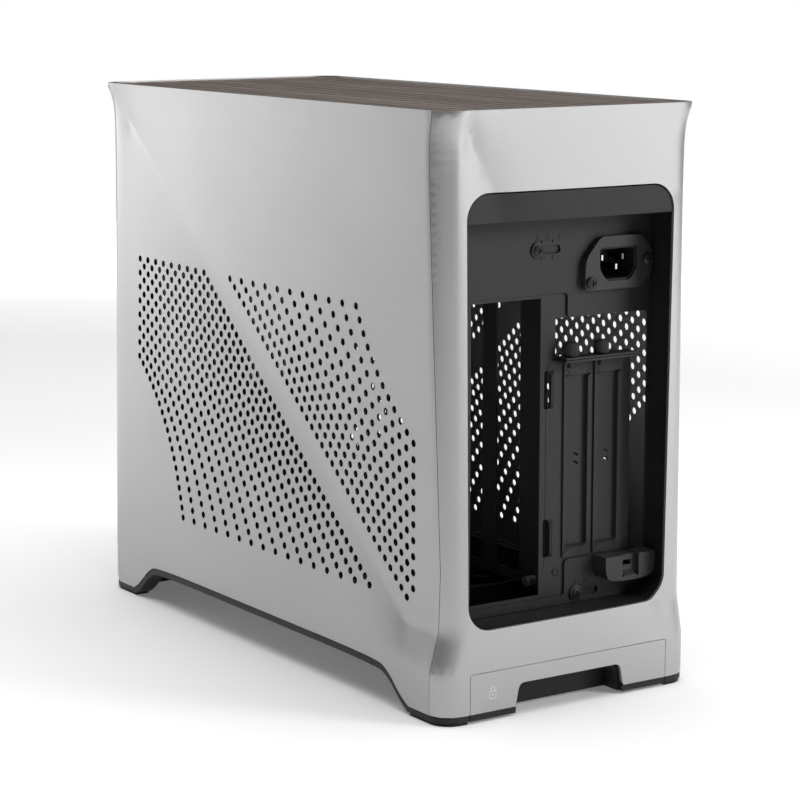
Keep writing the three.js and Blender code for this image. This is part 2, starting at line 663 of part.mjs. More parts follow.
function slotClamp() {
  // Retaining bar on the shelf, held by the two thumbscrews.
  const y = SPINE_REAR;
  const bar = box(-54, -6.2, y + 0.6, y + 10.2, SHELF_TOP + GAP, SHELF_TOP + GAP + 1);
  const bores = SLOT_X.map((x) => rod('z', 2.2, 170, 185, x + SCREW_OFFSET, y + 5.6, 12));
  return part('slot_clamp', cut(bar, ...bores), blackSteel);
}

function thumbscrew(index) {
  const item = new THREE.Group();
  const head = rod('z', THUMBSCREW.radius, GAP, THUMBSCREW.height, 0, 0, 24);
  const shank = rod('z', 1.8, -6, 1, 0, 0, 10);
  const floor = THUMBSCREW.height - 1.2;
  const recess = join(box(-2.2, 2.2, -0.45, 0.45, floor, 12), box(-0.45, 0.45, -2.2, 2.2, floor, 12));
  item.add(part(`thumbscrew_${index + 1}`, cut(join(head, shank), recess), blackSteel));
  item.position.set(SLOT_X[index] + SCREW_OFFSET, SPINE_REAR + 5.6, SHELF_TOP + GAP + 1);
  return item;
}

function riserSocket() {
  // The graphics card's socket at the foot of the spine.
  const [y0, y1] = [52, 141];
  const wall = 3;
  const body = box(-26, -18, y0, y1, 56.5, 67);
  const pocket = box(-26 + wall, -18 - wall, y0 + wall, y1 - wall, 60, 70);
  return part('riser_socket', cut(body, pocket), blackPlastic);
}

// ---- Small pieces on the rear wall -----------------------------------------

function cableHook() {
  // Half-round anchor that a cable tie or lead is looped over.
  const shape = new THREE.Shape();
  shape.moveTo(-32.4, 72.5);
  shape.lineTo(-66.3, 72.5);
  shape.quadraticCurveTo(-66, 59.5, -57, 58.4);
  shape.lineTo(-42, 58.4);
  shape.quadraticCurveTo(-33, 59.5, -32.4, 72.5);
  const body = extrude('y', shape, WALL_REAR + 0.2, WALL_REAR + 11, 6);
  const pocket = box(-55, -44, WALL_REAR + 7.5, 190, 60.5, 80);
  const slot = box(-52, -45, 150, 190, 66.4, 68.8);
  return part('cable_anchor', cut(body, pocket, slot), greyPlastic);
}

// ---- Front controls --------------------------------------------------------

function powerButton() {
  const cap = join(rod('y', BUTTON.radius, -182.8, -178, BUTTON.x, BUTTON.z, 20),
    rod('y', 7.6, -179.4, -178, BUTTON.x, BUTTON.z, 20));
  return part('power_button', cap, silver);
}

function frontBezel() {
  const { x0, x1, z0, z1 } = PORTS;
  const plate = extrude('y', roundedRect(x0 + GAP, x1 - GAP, z0 + GAP, z1 - GAP, 2.2), -182.6, -176.3);
  const cuts = frontPorts().map(({ shape }) => extrude('y', shape(0.2), -200, -150, 2));
  return part('port_bezel', cut(plate, ...cuts), blackPlastic);
}

function frontPorts() {
  const x = (PORTS.x0 + PORTS.x1) / 2;
  const rect = (z, halfW, halfH, radius) => (grow) => (
    roundedRect(x - halfW - grow, x + halfW + grow, z - halfH - grow, z + halfH + grow,
      radius + Math.min(grow, 0)));
  return [
    { name: 'usb_a_port_1', shape: rect(44, 3.4, 6.7, 0.8), depth: 5.6 },
    { name: 'usb_a_port_2', shape: rect(60, 3.4, 6.7, 0.8), depth: 5.6 },
    { name: 'usb_c_port', shape: rect(74.5, 1.7, 4.6, 1.5), depth: 5.6 },
  ];
}

function frontPort({ name, shape, depth }) {
  const shell = extrude('y', shape(0), -182.5, -176.4, 2);
  const hollow = extrude('y', shape(-0.5), -190, -182.5 + depth - 1, 2);
  return part(name, cut(shell, hollow), steel);
}

// ---- Assembly --------------------------------------------------------------

function buildBase() {
  const group = new THREE.Group();
  group.add(baseRing(), floorTray(), dustFilter());
  for (let i = 0; i < 4; i += 1) group.add(footPad(i));
  FAN.centreY.forEach((_, i) => group.add(filterMesh(i)));
  return group;
}

function buildDrawer() {
  const group = new THREE.Group();
  group.add(drawerFront(), drawerTray());
  return group;
}

function buildFans() {
  const group = new THREE.Group();
  FAN.centreY.forEach((y, i) => {
    const unit = new THREE.Group();
    const rotor = fanRotor(`fan_rotor_${i + 1}`);
    rotor.position.set(0, 0, 10.5);
    unit.add(fanFrame(`fan_frame_${i + 1}`), rotor);
    unit.position.set(0, y, FAN.bottom);
    group.add(unit);
  });
  return group;
}

function buildShell() {
  const group = new THREE.Group();
  group.add(frontPanel(), rearPanel(), rearHeader());
  group.add(sidePanel('side_panel_right', 1), sidePanel('side_panel_left', -1));
  return group;
}

function buildChassis() {
  const group = new THREE.Group();
  group.add(chassisFrame(), frontWall(), fixedWall(), recessLiner());
  group.add(topBracket(), rimFrame(), powerSupplyBracket());
  group.add(inletHousing(), cableHook());
  PINS.forEach((_, i) => group.add(inletPin(i)));
  inletScrewPlaces().forEach(([x, z], i) => {
    group.add(screw(`inlet_screw_${i + 1}`, x, WALL_REAR + 4, z, 3.1, 0));
  });
  return group;
}

function buildSpine() {
  const group = new THREE.Group();
  group.add(spinePlate(), spineTray(), slotClamp(), riserSocket());
  STANDOFFS.forEach((_, i) => group.add(standoff(i)));
  SLOT_X.forEach((_, i) => group.add(slotCover(i), thumbscrew(i)));
  [UPPER_ADJUSTER, LOWER_ADJUSTER].forEach(({ x, z }, i) => {
    group.add(screw(`adjuster_screw_${i + 1}`, x, WALL_REAR, z, 2.9, 4.2));
  });
  return group;
}

function buildControls() {
  const group = new THREE.Group();
  group.add(powerButton(), frontBezel(), ...frontPorts().map(frontPort));
  return group;
}

function buildTop() {
  const group = new THREE.Group();
  group.add(topPanel(), topCarrier());
  return group;
}

const computerCase = new THREE.Group();
computerCase.add(buildBase(), buildDrawer(), buildFans(), buildShell(), buildChassis(), buildSpine(),
  buildControls(), buildTop());

export default computerCase;
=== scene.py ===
import json
import math

import bmesh
import bpy
import numpy as np
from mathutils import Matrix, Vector
from mathutils.geometry import delaunay_2d_cdt
from mathutils.kdtree import KDTree


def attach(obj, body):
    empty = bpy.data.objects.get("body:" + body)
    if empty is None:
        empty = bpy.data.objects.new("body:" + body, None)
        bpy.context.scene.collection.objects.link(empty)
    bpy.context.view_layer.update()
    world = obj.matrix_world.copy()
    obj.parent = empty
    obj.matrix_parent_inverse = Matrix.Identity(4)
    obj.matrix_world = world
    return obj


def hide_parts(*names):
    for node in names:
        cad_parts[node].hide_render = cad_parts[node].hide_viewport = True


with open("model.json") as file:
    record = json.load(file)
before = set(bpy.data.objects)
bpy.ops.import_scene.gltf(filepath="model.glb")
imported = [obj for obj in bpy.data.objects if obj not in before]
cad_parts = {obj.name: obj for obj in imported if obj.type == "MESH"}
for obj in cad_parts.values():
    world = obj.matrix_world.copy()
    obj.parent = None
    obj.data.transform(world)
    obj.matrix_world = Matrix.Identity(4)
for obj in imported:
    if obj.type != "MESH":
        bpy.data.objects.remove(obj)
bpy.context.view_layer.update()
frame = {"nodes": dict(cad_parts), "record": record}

nodes = frame["nodes"]
body_of_node = {node: body for body, held in frame["record"]["behaviour"]["bodies"].items() for node in held}
slot_of_node = {row["node"]: row["material_slot"] for row in frame["record"]["subparts"]}

# Shapes are written in millimetres in the frame of the case and made in metres.
MM = 0.001

# ---- Driving dimensions, as in the frame ------------------------------------

HEIGHT = 314.0
HALF_WIDTH = 82.5
HALF_LENGTH = 183.0
SKIRT_TOP = 27.0
SHELL_FOOT = 5.0
SKIN = 1.8
PERFORATED_SKIN = 1.0
GAP = 0.3
CORNER_RADIUS = 12.5
SIDE_FACE = {"rim": HALF_WIDTH, "valley": 77.0, "skirt": 82.0, "tip": 291.0}
END_FACES = {
    1: {"rim": HALF_LENGTH, "valley": 179.0, "skirt": HALF_LENGTH, "tip": 304.0},
    -1: {"rim": HALF_LENGTH, "valley": 181.8, "skirt": HALF_LENGTH, "tip": 304.0},
}
VALLEY_TOP = 303.5
VALLEY_BOTTOM = 48.0
FOLD_SOFTNESS = 0.25
TIP_SOFTNESS = 4.2
TIP_REACH = 12.5

OPENING = {"half_width": 65.6, "bottom": 48.1, "top": 272.5, "radius": 14.0}
HEADER_BOTTOM = 257.0
HEADER_GAP = 0.8
WALL_REAR = 159.8
SPINE_REAR = 158.5
RECESS_HALF_WIDTH = 68.3
SHEET = 1.2

IO_OPENING = (3.3, 47.75, 54.7, 213.5)
SLOT_X = [-21.0, -41.3]
SLOT_COVER = {"half_width": 9.3, "bottom": 73.4, "top": 179.5, "press": 2.6}
SCREW_OFFSET = 8.6
SHELF_TOP = 181.0
LANCE_HEIGHTS = [164.7, 84.9]
LANCE_RISE = 2.5
ADJUSTERS = [{"x": 7.0, "z": 239.0, "digits": 245.5}, {"x": -20.4, "z": 53.2, "digits": 59.6}]
ADJUSTER_TRAVEL = 13.0
INLET = (-43.8, 229.8)
INLET_SCREWS = [(-25.4, 220.2), (-62.8, 230.7)]
PIN_TIPS = {"inlet_pin_1": -1.4, "inlet_pin_2": -1.4, "inlet_pin_3": 1.8}

DRAWER = {"half_width": 64.3, "top": 26.0, "notch_half": 36.0, "notch_top_half": 28.7, "notch_top": 17.2}
ARCH = [(152, 5), (144, 9.5), (132, 20.3), (121, 23.8), (0, 23.8)]
RING_THICKNESS = 4.3

TOP_INSET = 3.6
TOP_FACE = 313.4
TOP_THICKNESS = 4.0
TOP_SLOTS = {"count": 14, "pitch": 10.2, "width": 3.2, "half_length": 168.0}

BUTTON = {"x": 62.0, "z": 96.0, "radius": 6.6}
PORTS = {"x": (55.0, 69.0), "z": (34.0, 82.0), "radius": 2.5}

HOLE_RADIUS = 2.0


# ---- Camera, light and floor ------------------------------------------------

ROOM_FILL = 0.14
SHADED_SIDE = (105, 0)
FLOOR_HALF = 2.2
GLOW_CENTRE = (0.3, -0.25, 0.0)
GLOW_REACH = 2.0
FLOOR_GLOW = [(0.0, 0.12), (0.3, 0.14), (0.55, 0.26), (0.7, 0.5), (0.85, 0.95)]


def direction_from(azimuth, elevation):
    a, e = math.radians(azimuth), math.radians(elevation)
    return Vector((math.sin(a) * math.cos(e), -math.cos(a) * math.cos(e), math.sin(e)))


def add_camera():
    """The camera stands behind the case, to its right and a little above its middle."""
    back = direction_from(146.32, 9.9)
    right = (-back).cross(Vector((0, 0, 1))).normalized()
    up = right.cross(-back)
    lens = bpy.data.cameras.new("camera")
    lens.lens = 113.6
    lens.sensor_width = 36.0
    lens.clip_start = 0.05
    camera = bpy.data.objects.new("camera", lens)
    bpy.context.scene.collection.objects.link(camera)
    camera.location = back * 1.4548 + right * 0.0118 - up * 0.0201 + Vector((0, 0, HEIGHT / 2 * MM))
    camera.rotation_euler = back.to_track_quat("Z", "Y").to_euler()
    bpy.context.scene.camera = camera


def add_area_light(name, azimuth, elevation, distance, size, power):
    light = bpy.data.lights.new(name, "AREA")
    light.shape = "RECTANGLE"
    light.size, light.size_y = size
    light.energy = power
    lamp = bpy.data.objects.new(name, light)
    bpy.context.scene.collection.objects.link(lamp)
    back = direction_from(azimuth, elevation)
    lamp.location = back * distance + Vector((0, 0, 0.15))
    lamp.rotation_euler = back.to_track_quat("Z", "Y").to_euler()


def add_world():
    """A white room that shows brighter than it lights the case, with one side of it in shade."""
    world = bpy.data.worlds.new("studio")
    bpy.context.scene.world = world
    world.use_nodes = True
    tree = world.node_tree
    walls = tree.nodes["Background"]
    walls.inputs["Color"].default_value = (1, 1, 1, 1)
    walls.inputs["Strength"].default_value = 1.0
    fill = tree.nodes.new("ShaderNodeBackground")
    direction = tree.nodes.new("ShaderNodeTexCoord").outputs["Generated"]
    towards_shade = tree.nodes.new("ShaderNodeVectorMath")
    towards_shade.operation = "DOT_PRODUCT"
    towards_shade.inputs[1].default_value = direction_from(*SHADED_SIDE)
    tree.links.new(direction, towards_shade.inputs[0])
    shade = tree.nodes.new("ShaderNodeMapRange")
    shade.interpolation_type = "SMOOTHSTEP"
    for socket, value in (("From Min", -0.15), ("From Max", 0.75), ("To Min", ROOM_FILL), ("To Max", ROOM_FILL * 0.1)):
        shade.inputs[socket].default_value = value
    tree.links.new(towards_shade.outputs["Value"], shade.inputs["Value"])
    tree.links.new(shade.outputs["Result"], fill.inputs["Strength"])
    rays = tree.nodes.new("ShaderNodeLightPath")
    bounced = tree.nodes.new("ShaderNodeMath")
    bounced.operation = "MAXIMUM"
    tree.links.new(rays.outputs["Is Diffuse Ray"], bounced.inputs[0])
    tree.links.new(rays.outputs["Is Glossy Ray"], bounced.inputs[1])
    mix = tree.nodes.new("ShaderNodeMixShader")
    tree.links.new(bounced.outputs["Value"], mix.inputs["Fac"])
    tree.links.new(walls.outputs["Background"], mix.inputs[1])
    tree.links.new(fill.outputs["Background"], mix.inputs[2])
    tree.links.new(mix.outputs["Shader"], tree.nodes["World Output"].inputs["Surface"])
    bpy.context.scene.view_settings.view_transform = "Standard"


def add_studio():
    add_world()
    add_area_light("side_softbox", 22, 6, 1.6, (0.45, 0.45), 1.75)
    add_area_light("side_fill", 34, 6, 1.6, (0.45, 0.45), 0.7)
    add_area_light("side_card", 22, 0, 0.55, (0.2, 0.3), 0.12)
    add_area_light("rear_key", 215, 22, 1.6, (0.45, 0.45), 9.4)
    add_area_light("rear_softbox", 212, 6, 1.6, (0.45, 0.45), 0.9)
    add_area_light("rear_card", 228, 12, 0.7, (0.3, 0.4), 0.25)
    add_area_light("overhead", 120, 88, 1.5, (1.6, 1.6), 28.0)
    bm = bmesh.new()
    bmesh.ops.create_grid(bm, x_segments=8, y_segments=8, size=FLOOR_HALF)
    floor = make_object("floor", bm, paper_floor())


# ---- Materials --------------------------------------------------------------


class Surface:
    """A node material: a principled shader with helpers that add and wire textures."""

    def __init__(self, name, roughness, metallic=0.0):
        self.material = bpy.data.materials.new(name)
        self.material.use_nodes = True
        self.tree = self.material.node_tree
        self.shader = self.tree.nodes["Principled BSDF"]
        self.shader.inputs["Roughness"].default_value = roughness
        self.shader.inputs["Metallic"].default_value = metallic
        self.coordinates = self.tree.nodes.new("ShaderNodeTexCoord").outputs["Object"]

    def stretched(self, scale):
        mapping = self.tree.nodes.new("ShaderNodeMapping")
        mapping.inputs["Scale"].default_value = scale
        self.tree.links.new(self.coordinates, mapping.inputs["Vector"])
        return mapping.outputs["Vector"]

    def noise(self, scale, detail=3.0, stretch=(1, 1, 1), distortion=0.0):
        noise = self.tree.nodes.new("ShaderNodeTexNoise")
        noise.inputs["Scale"].default_value = scale
        noise.inputs["Detail"].default_value = detail
        noise.inputs["Distortion"].default_value = distortion
        self.tree.links.new(self.stretched(stretch), noise.inputs["Vector"])
        return noise.outputs["Fac"]

    def ramp(self, factor, stops):
        ramp = self.tree.nodes.new("ShaderNodeValToRGB")
        while len(ramp.color_ramp.elements) < len(stops):
            ramp.color_ramp.elements.new(0.5)
        for element, (place, color) in zip(ramp.color_ramp.elements, stops):
            element.position = place
            element.color = (*color, 1)
        self.tree.links.new(factor, ramp.inputs["Fac"])
        return ramp.outputs["Color"]

    def remap(self, factor, low, high):
        remap = self.tree.nodes.new("ShaderNodeMapRange")
        remap.inputs["To Min"].default_value = low
        remap.inputs["To Max"].default_value = high
        self.tree.links.new(factor, remap.inputs["Value"])
        return remap.outputs["Result"]

    def shaded_hole_walls(self, bottom, top, level):
        """Painted shade: 1 on a side panel's faces, and level on the walls of its holes between two heights, so the
        holes look dark as if in shadow.
        """
        axes = []
        for output in ("Normal", "Object"):
            split = self.tree.nodes.new("ShaderNodeSeparateXYZ")
            self.tree.links.new(self.coordinates.node.outputs[output], split.inputs[0])
            axes.append(split.outputs["X" if output == "Normal" else "Z"])
        outward = self.tree.nodes.new("ShaderNodeMath")
        outward.operation = "ABSOLUTE"
        self.tree.links.new(axes[0], outward.inputs[0])
        on_wall = self.ramp(outward.outputs["Value"], [(0.35, grey(1.0)), (0.6, grey(0.0))])
        height = self.remap(axes[1], 0.0, 1.0)
        height.node.inputs["From Max"].default_value = HEIGHT * MM
        among_holes = self.ramp(height, [(bottom / HEIGHT, grey(0.0)), (bottom / HEIGHT + 0.01, grey(1.0)),
                                         (top / HEIGHT, grey(1.0)), (top / HEIGHT + 0.01, grey(0.0))])
        return self.remap(self.multiply(on_wall, among_holes), 1.0, level)

    def multiply(self, a, b):
        product = self.tree.nodes.new("ShaderNodeMath")
        product.operation = "MULTIPLY"
        self.tree.links.new(a, product.inputs[0])
        self.tree.links.new(b, product.inputs[1])
        return product.outputs["Value"]

    def mix(self, factor, a, b, mode="MULTIPLY"):
        mix = self.tree.nodes.new("ShaderNodeMix")
        mix.data_type = "RGBA"
        mix.blend_type = mode
        mix.inputs["Factor"].default_value = factor
        self.tree.links.new(a, mix.inputs["A"])
        self.tree.links.new(b, mix.inputs["B"])
        return mix.outputs["Result"]

    def bump(self, height, strength, distance):
        bump = self.tree.nodes.new("ShaderNodeBump")
        bump.inputs["Strength"].default_value = strength
        bump.inputs["Distance"].default_value = distance
        self.tree.links.new(height, bump.inputs["Height"])
        previous = self.shader.inputs["Normal"].links
        if previous:
            self.tree.links.new(previous[0].from_socket, bump.inputs["Normal"])
        self.tree.links.new(bump.outputs["Normal"], self.shader.inputs["Normal"])

    def set(self, socket, source):
        self.tree.links.new(source, self.shader.inputs[socket])


def grey(value):
    return (value, value, value)


def paper_floor():
    """White paper lit from below, except close round the case."""
    surface = Surface("paper_floor", 0.9)
    surface.set("Base Color", surface.ramp(surface.noise(3.0), [(0.3, grey(0.9)), (0.7, grey(0.93))]))
    reach = surface.tree.nodes.new("ShaderNodeVectorMath")
    reach.operation = "LENGTH"
    from_centre = surface.stretched((1 / GLOW_REACH,) * 3)
    from_centre.node.inputs["Location"].default_value = [-along / GLOW_REACH for along in GLOW_CENTRE]
    surface.tree.links.new(from_centre, reach.inputs[0])
    glow = surface.ramp(reach.outputs["Value"], [(place, grey(level)) for place, level in FLOOR_GLOW])
    surface.set("Emission Color", glow)
    surface.shader.inputs["Emission Strength"].default_value = 1.0
    return surface.material


def anodised_aluminium(name="anodised_aluminium", hole_wall_shade=None):
    """Fine bead-blasted silver, with a faint cloudiness and a sparkle in the grain, and optional painted shade on the
    walls of its holes.
    """
    surface = Surface(name, 0.36, 0.8)
    cloud = surface.ramp(surface.noise(14.0), [(0.3, grey(0.42)), (0.7, grey(0.445))])
    grain = surface.ramp(surface.noise(2600.0, 2.0), [(0.3, grey(0.93)), (0.7, grey(1.0))])
    finish = surface.mix(1.0, cloud, grain)
    # Painted shade: the walls of the holes are darkened between the given heights.
    if hole_wall_shade:
        finish = surface.mix(1.0, finish, surface.shaded_hole_walls(*hole_wall_shade))
    surface.set("Base Color", finish)
    surface.set("Roughness", surface.remap(surface.noise(900.0, 2.0), 0.32, 0.40))
    surface.bump(surface.noise(3200.0, 2.0), 0.12, 0.00004)
    return surface.material


def walnut():
    """Grey-brown oiled veneer, with its grain along the case."""
    surface = Surface("walnut", 0.55)
    along = (1, 0.045, 1)
    figure = surface.noise(90.0, 6.0, along, 0.6)
    color = surface.ramp(figure, [(0.25, (0.078, 0.06, 0.05)), (0.5, (0.12, 0.095, 0.082)), (0.75, (0.175, 0.143, 0.126))])
    pores = surface.ramp(surface.noise(700.0, 3.0, (1, 0.03, 1)), [(0.42, grey(0.62)), (0.56, grey(1.0))])
    surface.set("Base Color", surface.mix(0.8, color, pores))
    surface.set("Roughness", surface.remap(figure, 0.48, 0.66))
    surface.bump(surface.noise(700.0, 3.0, (1, 0.03, 1)), 0.35, 0.0002)
    return surface.material


def dark_coat(name, low, high, roughness, texture_scale, bump_strength):
    """A dark moulded or sprayed finish: slight mottling and a fine, even texture."""
    surface = Surface(name, roughness)
    surface.shader.inputs["Specular IOR Level"].default_value = 0.36
    surface.set("Base Color", surface.ramp(surface.noise(40.0), [(0.3, grey(low)), (0.7, grey(high))]))
    surface.set("Roughness", surface.remap(surface.noise(300.0), roughness - 0.05, roughness + 0.06))
    surface.bump(surface.noise(texture_scale, 2.0), bump_strength, 0.00008)
    return surface.material


def bright_steel():
    surface = Surface("bright_steel", 0.28, 1.0)
    brushed = surface.noise(900.0, 3.0, (1, 1, 0.05))
    surface.set("Base Color", surface.ramp(brushed, [(0.3, (0.62, 0.61, 0.58)), (0.7, (0.78, 0.77, 0.74))]))
    surface.set("Roughness", surface.remap(brushed, 0.2, 0.38))
    return surface.material


def pin_steel(name, tip):
    """A contact pin: bright over its last millimetre, with painted shade making it near-black along the shank deeper in
    the socket.
    """
    surface = Surface(name, 0.3, 1.0)
    split = surface.tree.nodes.new("ShaderNodeSeparateXYZ")
    surface.tree.links.new(surface.coordinates, split.inputs[0])
    along = surface.remap(split.outputs["Y"], 0.0, 1.0)
    along.node.inputs["From Min"].default_value = (WALL_REAR + tip - 5) * MM
    along.node.inputs["From Max"].default_value = (WALL_REAR + tip) * MM
    # Painted shade: the shank goes near-black towards the back of the socket.
    socket_shade = surface.ramp(along, [(0.72, grey(0.02)), (0.84, grey(0.7))])
    wear = surface.ramp(surface.noise(900.0), [(0.3, grey(0.9)), (0.7, grey(1.0))])
    surface.set("Base Color", surface.mix(1.0, socket_shade, wear))
    return surface.material


def woven_mesh():
    """Fine black nylon: two crossed sets of threads."""
    surface = Surface("filter_mesh", 0.8)
    threads = []
    for stretch in ((1, 0, 0), (0, 1, 0)):
        wave = surface.tree.nodes.new("ShaderNodeTexWave")
        wave.inputs["Scale"].default_value = 260.0
        surface.tree.links.new(surface.stretched(stretch), wave.inputs["Vector"])
        threads.append(wave.outputs["Fac"])
    weave = surface.multiply(*threads)
    surface.set("Base Color", surface.ramp(weave, [(0.2, grey(0.05)), (0.8, grey(0.006))]))
    surface.bump(weave, 0.6, 0.0002)
    return surface.material


def printed_mark():
    surface = Surface("printed_mark", 0.5)
    surface.set("Base Color", surface.ramp(surface.noise(500.0), [(0.3, grey(0.58)), (0.7, grey(0.64))]))
    return surface.material


MATERIALS = {
    "anodised_aluminium": anodised_aluminium(),
    "walnut": walnut(),
    "black_steel": dark_coat("black_steel", 0.013, 0.017, 0.5, 1500.0, 0.3),
    "black_plastic": dark_coat("black_plastic", 0.008, 0.011, 0.5, 2200.0, 0.25),
    "grey_plastic": dark_coat("grey_plastic", 0.022, 0.028, 0.42, 1800.0, 0.15),
    "rubber_foot": dark_coat("rubber_foot", 0.012, 0.018, 0.8, 1200.0, 0.3),
    "bright_steel": bright_steel(),
    "filter_mesh": woven_mesh(),
}
PRINTED_MARK = printed_mark()
PINS = {name: pin_steel(name, tip) for name, tip in PIN_TIPS.items()}
# The side panels' hole walls get painted shade between 45 and 262 mm high, at 0.02 of the silver.
PERFORATED = anodised_aluminium("perforated_aluminium", (45.0, 262.0, 0.02))


# ---- Making pieces ----------------------------------------------------------


def make_object(name, bm, material, smooth_angle=32):
    """A mesh object whose faces point outwards and whose sharp edges stay sharp."""
    bmesh.ops.recalc_face_normals(bm, faces=bm.faces[:])
    mesh = bpy.data.meshes.new(name)
    bm.to_mesh(mesh)
    bm.free()
    mesh.materials.append(material)
    mesh.polygons.foreach_set("use_smooth", [True] * len(mesh.polygons))
    mesh.set_sharp_from_angle(angle=math.radians(smooth_angle))
    made = bpy.data.objects.new(name, mesh)
    bpy.context.scene.collection.objects.link(made)
    return made


def add_bevel(piece, width, segments=2, angle=35):
    bevel = piece.modifiers.new("edges", "BEVEL")
    bevel.width = width * MM
    bevel.segments = segments
    bevel.limit_method = "ANGLE"
    bevel.angle_limit = math.radians(angle)
    bevel.harden_normals = True


def finish_piece(name, bm, body, slot, bevel=0.0, replaces=(), material=None, smooth_angle=32):
    """Makes a piece from a mesh in millimetres, and puts it on its body."""
    bmesh.ops.scale(bm, vec=(MM, MM, MM), verts=bm.verts[:])
    piece = make_object(name, bm, material or MATERIALS[slot], smooth_angle)
    if bevel:
        add_bevel(piece, bevel)
    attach(piece, body)
    if replaces:
        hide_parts(*replaces)
    return piece


def stand_in(node, bm, bevel=0.0, smooth_angle=32, material=None):
    """A detailed piece in place of one CAD node, on the same body and with the same finish."""
    name = node + "_shell" if node.endswith("panel") else node + "_detail"
    return finish_piece(name, bm, body_of_node[node], slot_of_node[node], bevel, [node], material, smooth_angle)


def placed(axis, a, b, along):
    """A point from its place on the two other axes, in order, and its place along the axis."""
    return {"x": (along, a, b), "y": (a, along, b), "z": (a, b, along)}[axis]


def add_prism(bm, axis, outline, start, end):
    low = [bm.verts.new(placed(axis, a, b, start)) for a, b in outline]
    high = [bm.verts.new(placed(axis, a, b, end)) for a, b in outline]
    bm.faces.new(low)
    bm.faces.new(list(reversed(high)))
    for i in range(len(outline)):
        j = (i + 1) % len(outline)
        bm.faces.new((low[j], low[i], high[i], high[j]))


def add_box(bm, x0, x1, y0, y1, z0, z1):
    add_prism(bm, "z", [(x0, y0), (x1, y0), (x1, y1), (x0, y1)], z0, z1)


def arc(a, b, radius, first, last, steps):
    """Points on an arc, with angles in degrees."""
    angles = [math.radians(first + (last - first) * i / steps) for i in range(steps + 1)]
    return [(a + radius * math.cos(t), b + radius * math.sin(t)) for t in angles]


def circle(a, b, radius, steps=32):
    return arc(a, b, radius, 0, 360, steps)[:-1]


def rounded_rectangle(a0, a1, b0, b1, radius, steps=8):
    corners = [(a1 - radius, b0 + radius, -90), (a1 - radius, b1 - radius, 0),
               (a0 + radius, b1 - radius, 90), (a0 + radius, b0 + radius, 180)]
    return [point for a, b, first in corners for point in arc(a, b, radius, first, first + 90, steps)]


def add_lathe(bm, axis, profile, a, b, steps=36):
    """A closed turned piece: profile is (radius, place along the axis), from axis to axis."""
    rings = []
    for radius, along in profile:
        if radius == 0:
            rings.append([bm.verts.new(placed(axis, a, b, along))])
        else:
            rings.append([bm.verts.new(placed(axis, p, q, along)) for p, q in circle(a, b, radius, steps)])
    for low, high in zip(rings, rings[1:]):
        for i in range(steps):
            j = (i + 1) % steps
            corners = [low[i % len(low)], low[j % len(low)], high[j % len(high)], high[i % len(high)]]
            unique = list(dict.fromkeys(corners))
            bm.faces.new(unique)


# ---- Sheets with holes ------------------------------------------------------


def inside_polygon(points, polygon):
    """Which of the points, an array of pairs, lie inside the polygon."""
    x, y = points[:, 0], points[:, 1]
    result = np.zeros(len(points), bool)
    for (x0, y0), (x1, y1) in zip(polygon, polygon[1:] + polygon[:1]):
        if y0 != y1:
            crosses = ((y0 > y) != (y1 > y)) & (x < (x1 - x0) * (y - y0) / (y1 - y0) + x0)
            result ^= crosses
    return result


def divided(loop, longest):
    """The closed loop with points added so that no edge is longer than that."""
    points = []
    for (x0, y0), (x1, y1) in zip(loop, loop[1:] + loop[:1]):
        pieces = max(1, math.ceil(math.hypot(x1 - x0, y1 - y0) / longest))
        points += [(x0 + (x1 - x0) * i / pieces, y0 + (y1 - y0) * i / pieces) for i in range(pieces)]
    return points


def far_from(points, circles, loops, clearance):
    """The points that keep a clearance from every round hole and every loop's own points."""
    taken = [(x, y, radius) for x, y, radius in circles]
    taken += [(x, y, 0.0) for loop in loops for x, y in loop]
    tree = KDTree(len(taken))
    for i, (x, y, _) in enumerate(taken):
        tree.insert((x, y, 0), i)
    tree.balance()
    kept = []
    for x, y in points:
        _, i, distance = tree.find((x, y, 0))
        if distance > taken[i][2] + clearance:
            kept.append((x, y))
    return kept


def sheet_mesh(outline, holes, circles, grid, chains, locate, thickness):
    """A closed sheet of even thickness: an outline less its holes, laid on a surface by locate."""
    hole_steps = 14
    loops = [outline, *holes] + [circle(x, y, radius, hole_steps) for x, y, radius in circles]
    flat, edges = [], []
    for loop in loops:
        first = len(flat)
        flat += [Vector(point) for point in loop]
        edges += [(first + i, first + (i + 1) % len(loop)) for i in range(len(loop))]
    for chain in chains:
        first = len(flat)
        flat += [Vector(point) for point in chain]
        edges += [(first + i, first + i + 1) for i in range(len(chain) - 1)]
    flat += [Vector(point) for point in grid]
    points, _, triangles, *_ = delaunay_2d_cdt(flat, edges, [], 0, 1e-6)
    points = np.array([tuple(point) for point in points])
    triangles = np.array([tuple(triangle) for triangle in triangles])
    centres = points[triangles].mean(1)
    keep = inside_polygon(centres, outline)
    for hole in holes:
        keep &= ~inside_polygon(centres, hole)
    if circles:
        tree = KDTree(len(circles))
        for i, (x, y, _) in enumerate(circles):
            tree.insert((x, y, 0), i)
        tree.balance()
        near = [tree.find((x, y, 0)) for x, y in centres]
        keep &= np.array([distance > circles[i][2] * 0.98 for _, i, distance in near])
    triangles = triangles[keep]
    bm = bmesh.new()
    used = sorted(set(triangles.ravel()))
    outer = {i: bm.verts.new(locate(*points[i], 0.0)) for i in used}
    inner = {i: bm.verts.new(locate(*points[i], thickness)) for i in used}
    rims = {}
    for a, b, c in triangles:
        bm.faces.new((outer[a], outer[b], outer[c]))
        bm.faces.new((inner[c], inner[b], inner[a]))
        for pair in ((a, b), (b, c), (c, a)):
            rims[pair] = rims.get(pair, 0) + 1
    for a, b in rims:
        if (b, a) not in rims:
            bm.faces.new((outer[b], outer[a], inner[a], inner[b]))
    return bm


# ---- The folded shell -------------------------------------------------------


def soft_max(a, b, softness):
    return (a + b + math.hypot(a - b, softness)) / 2


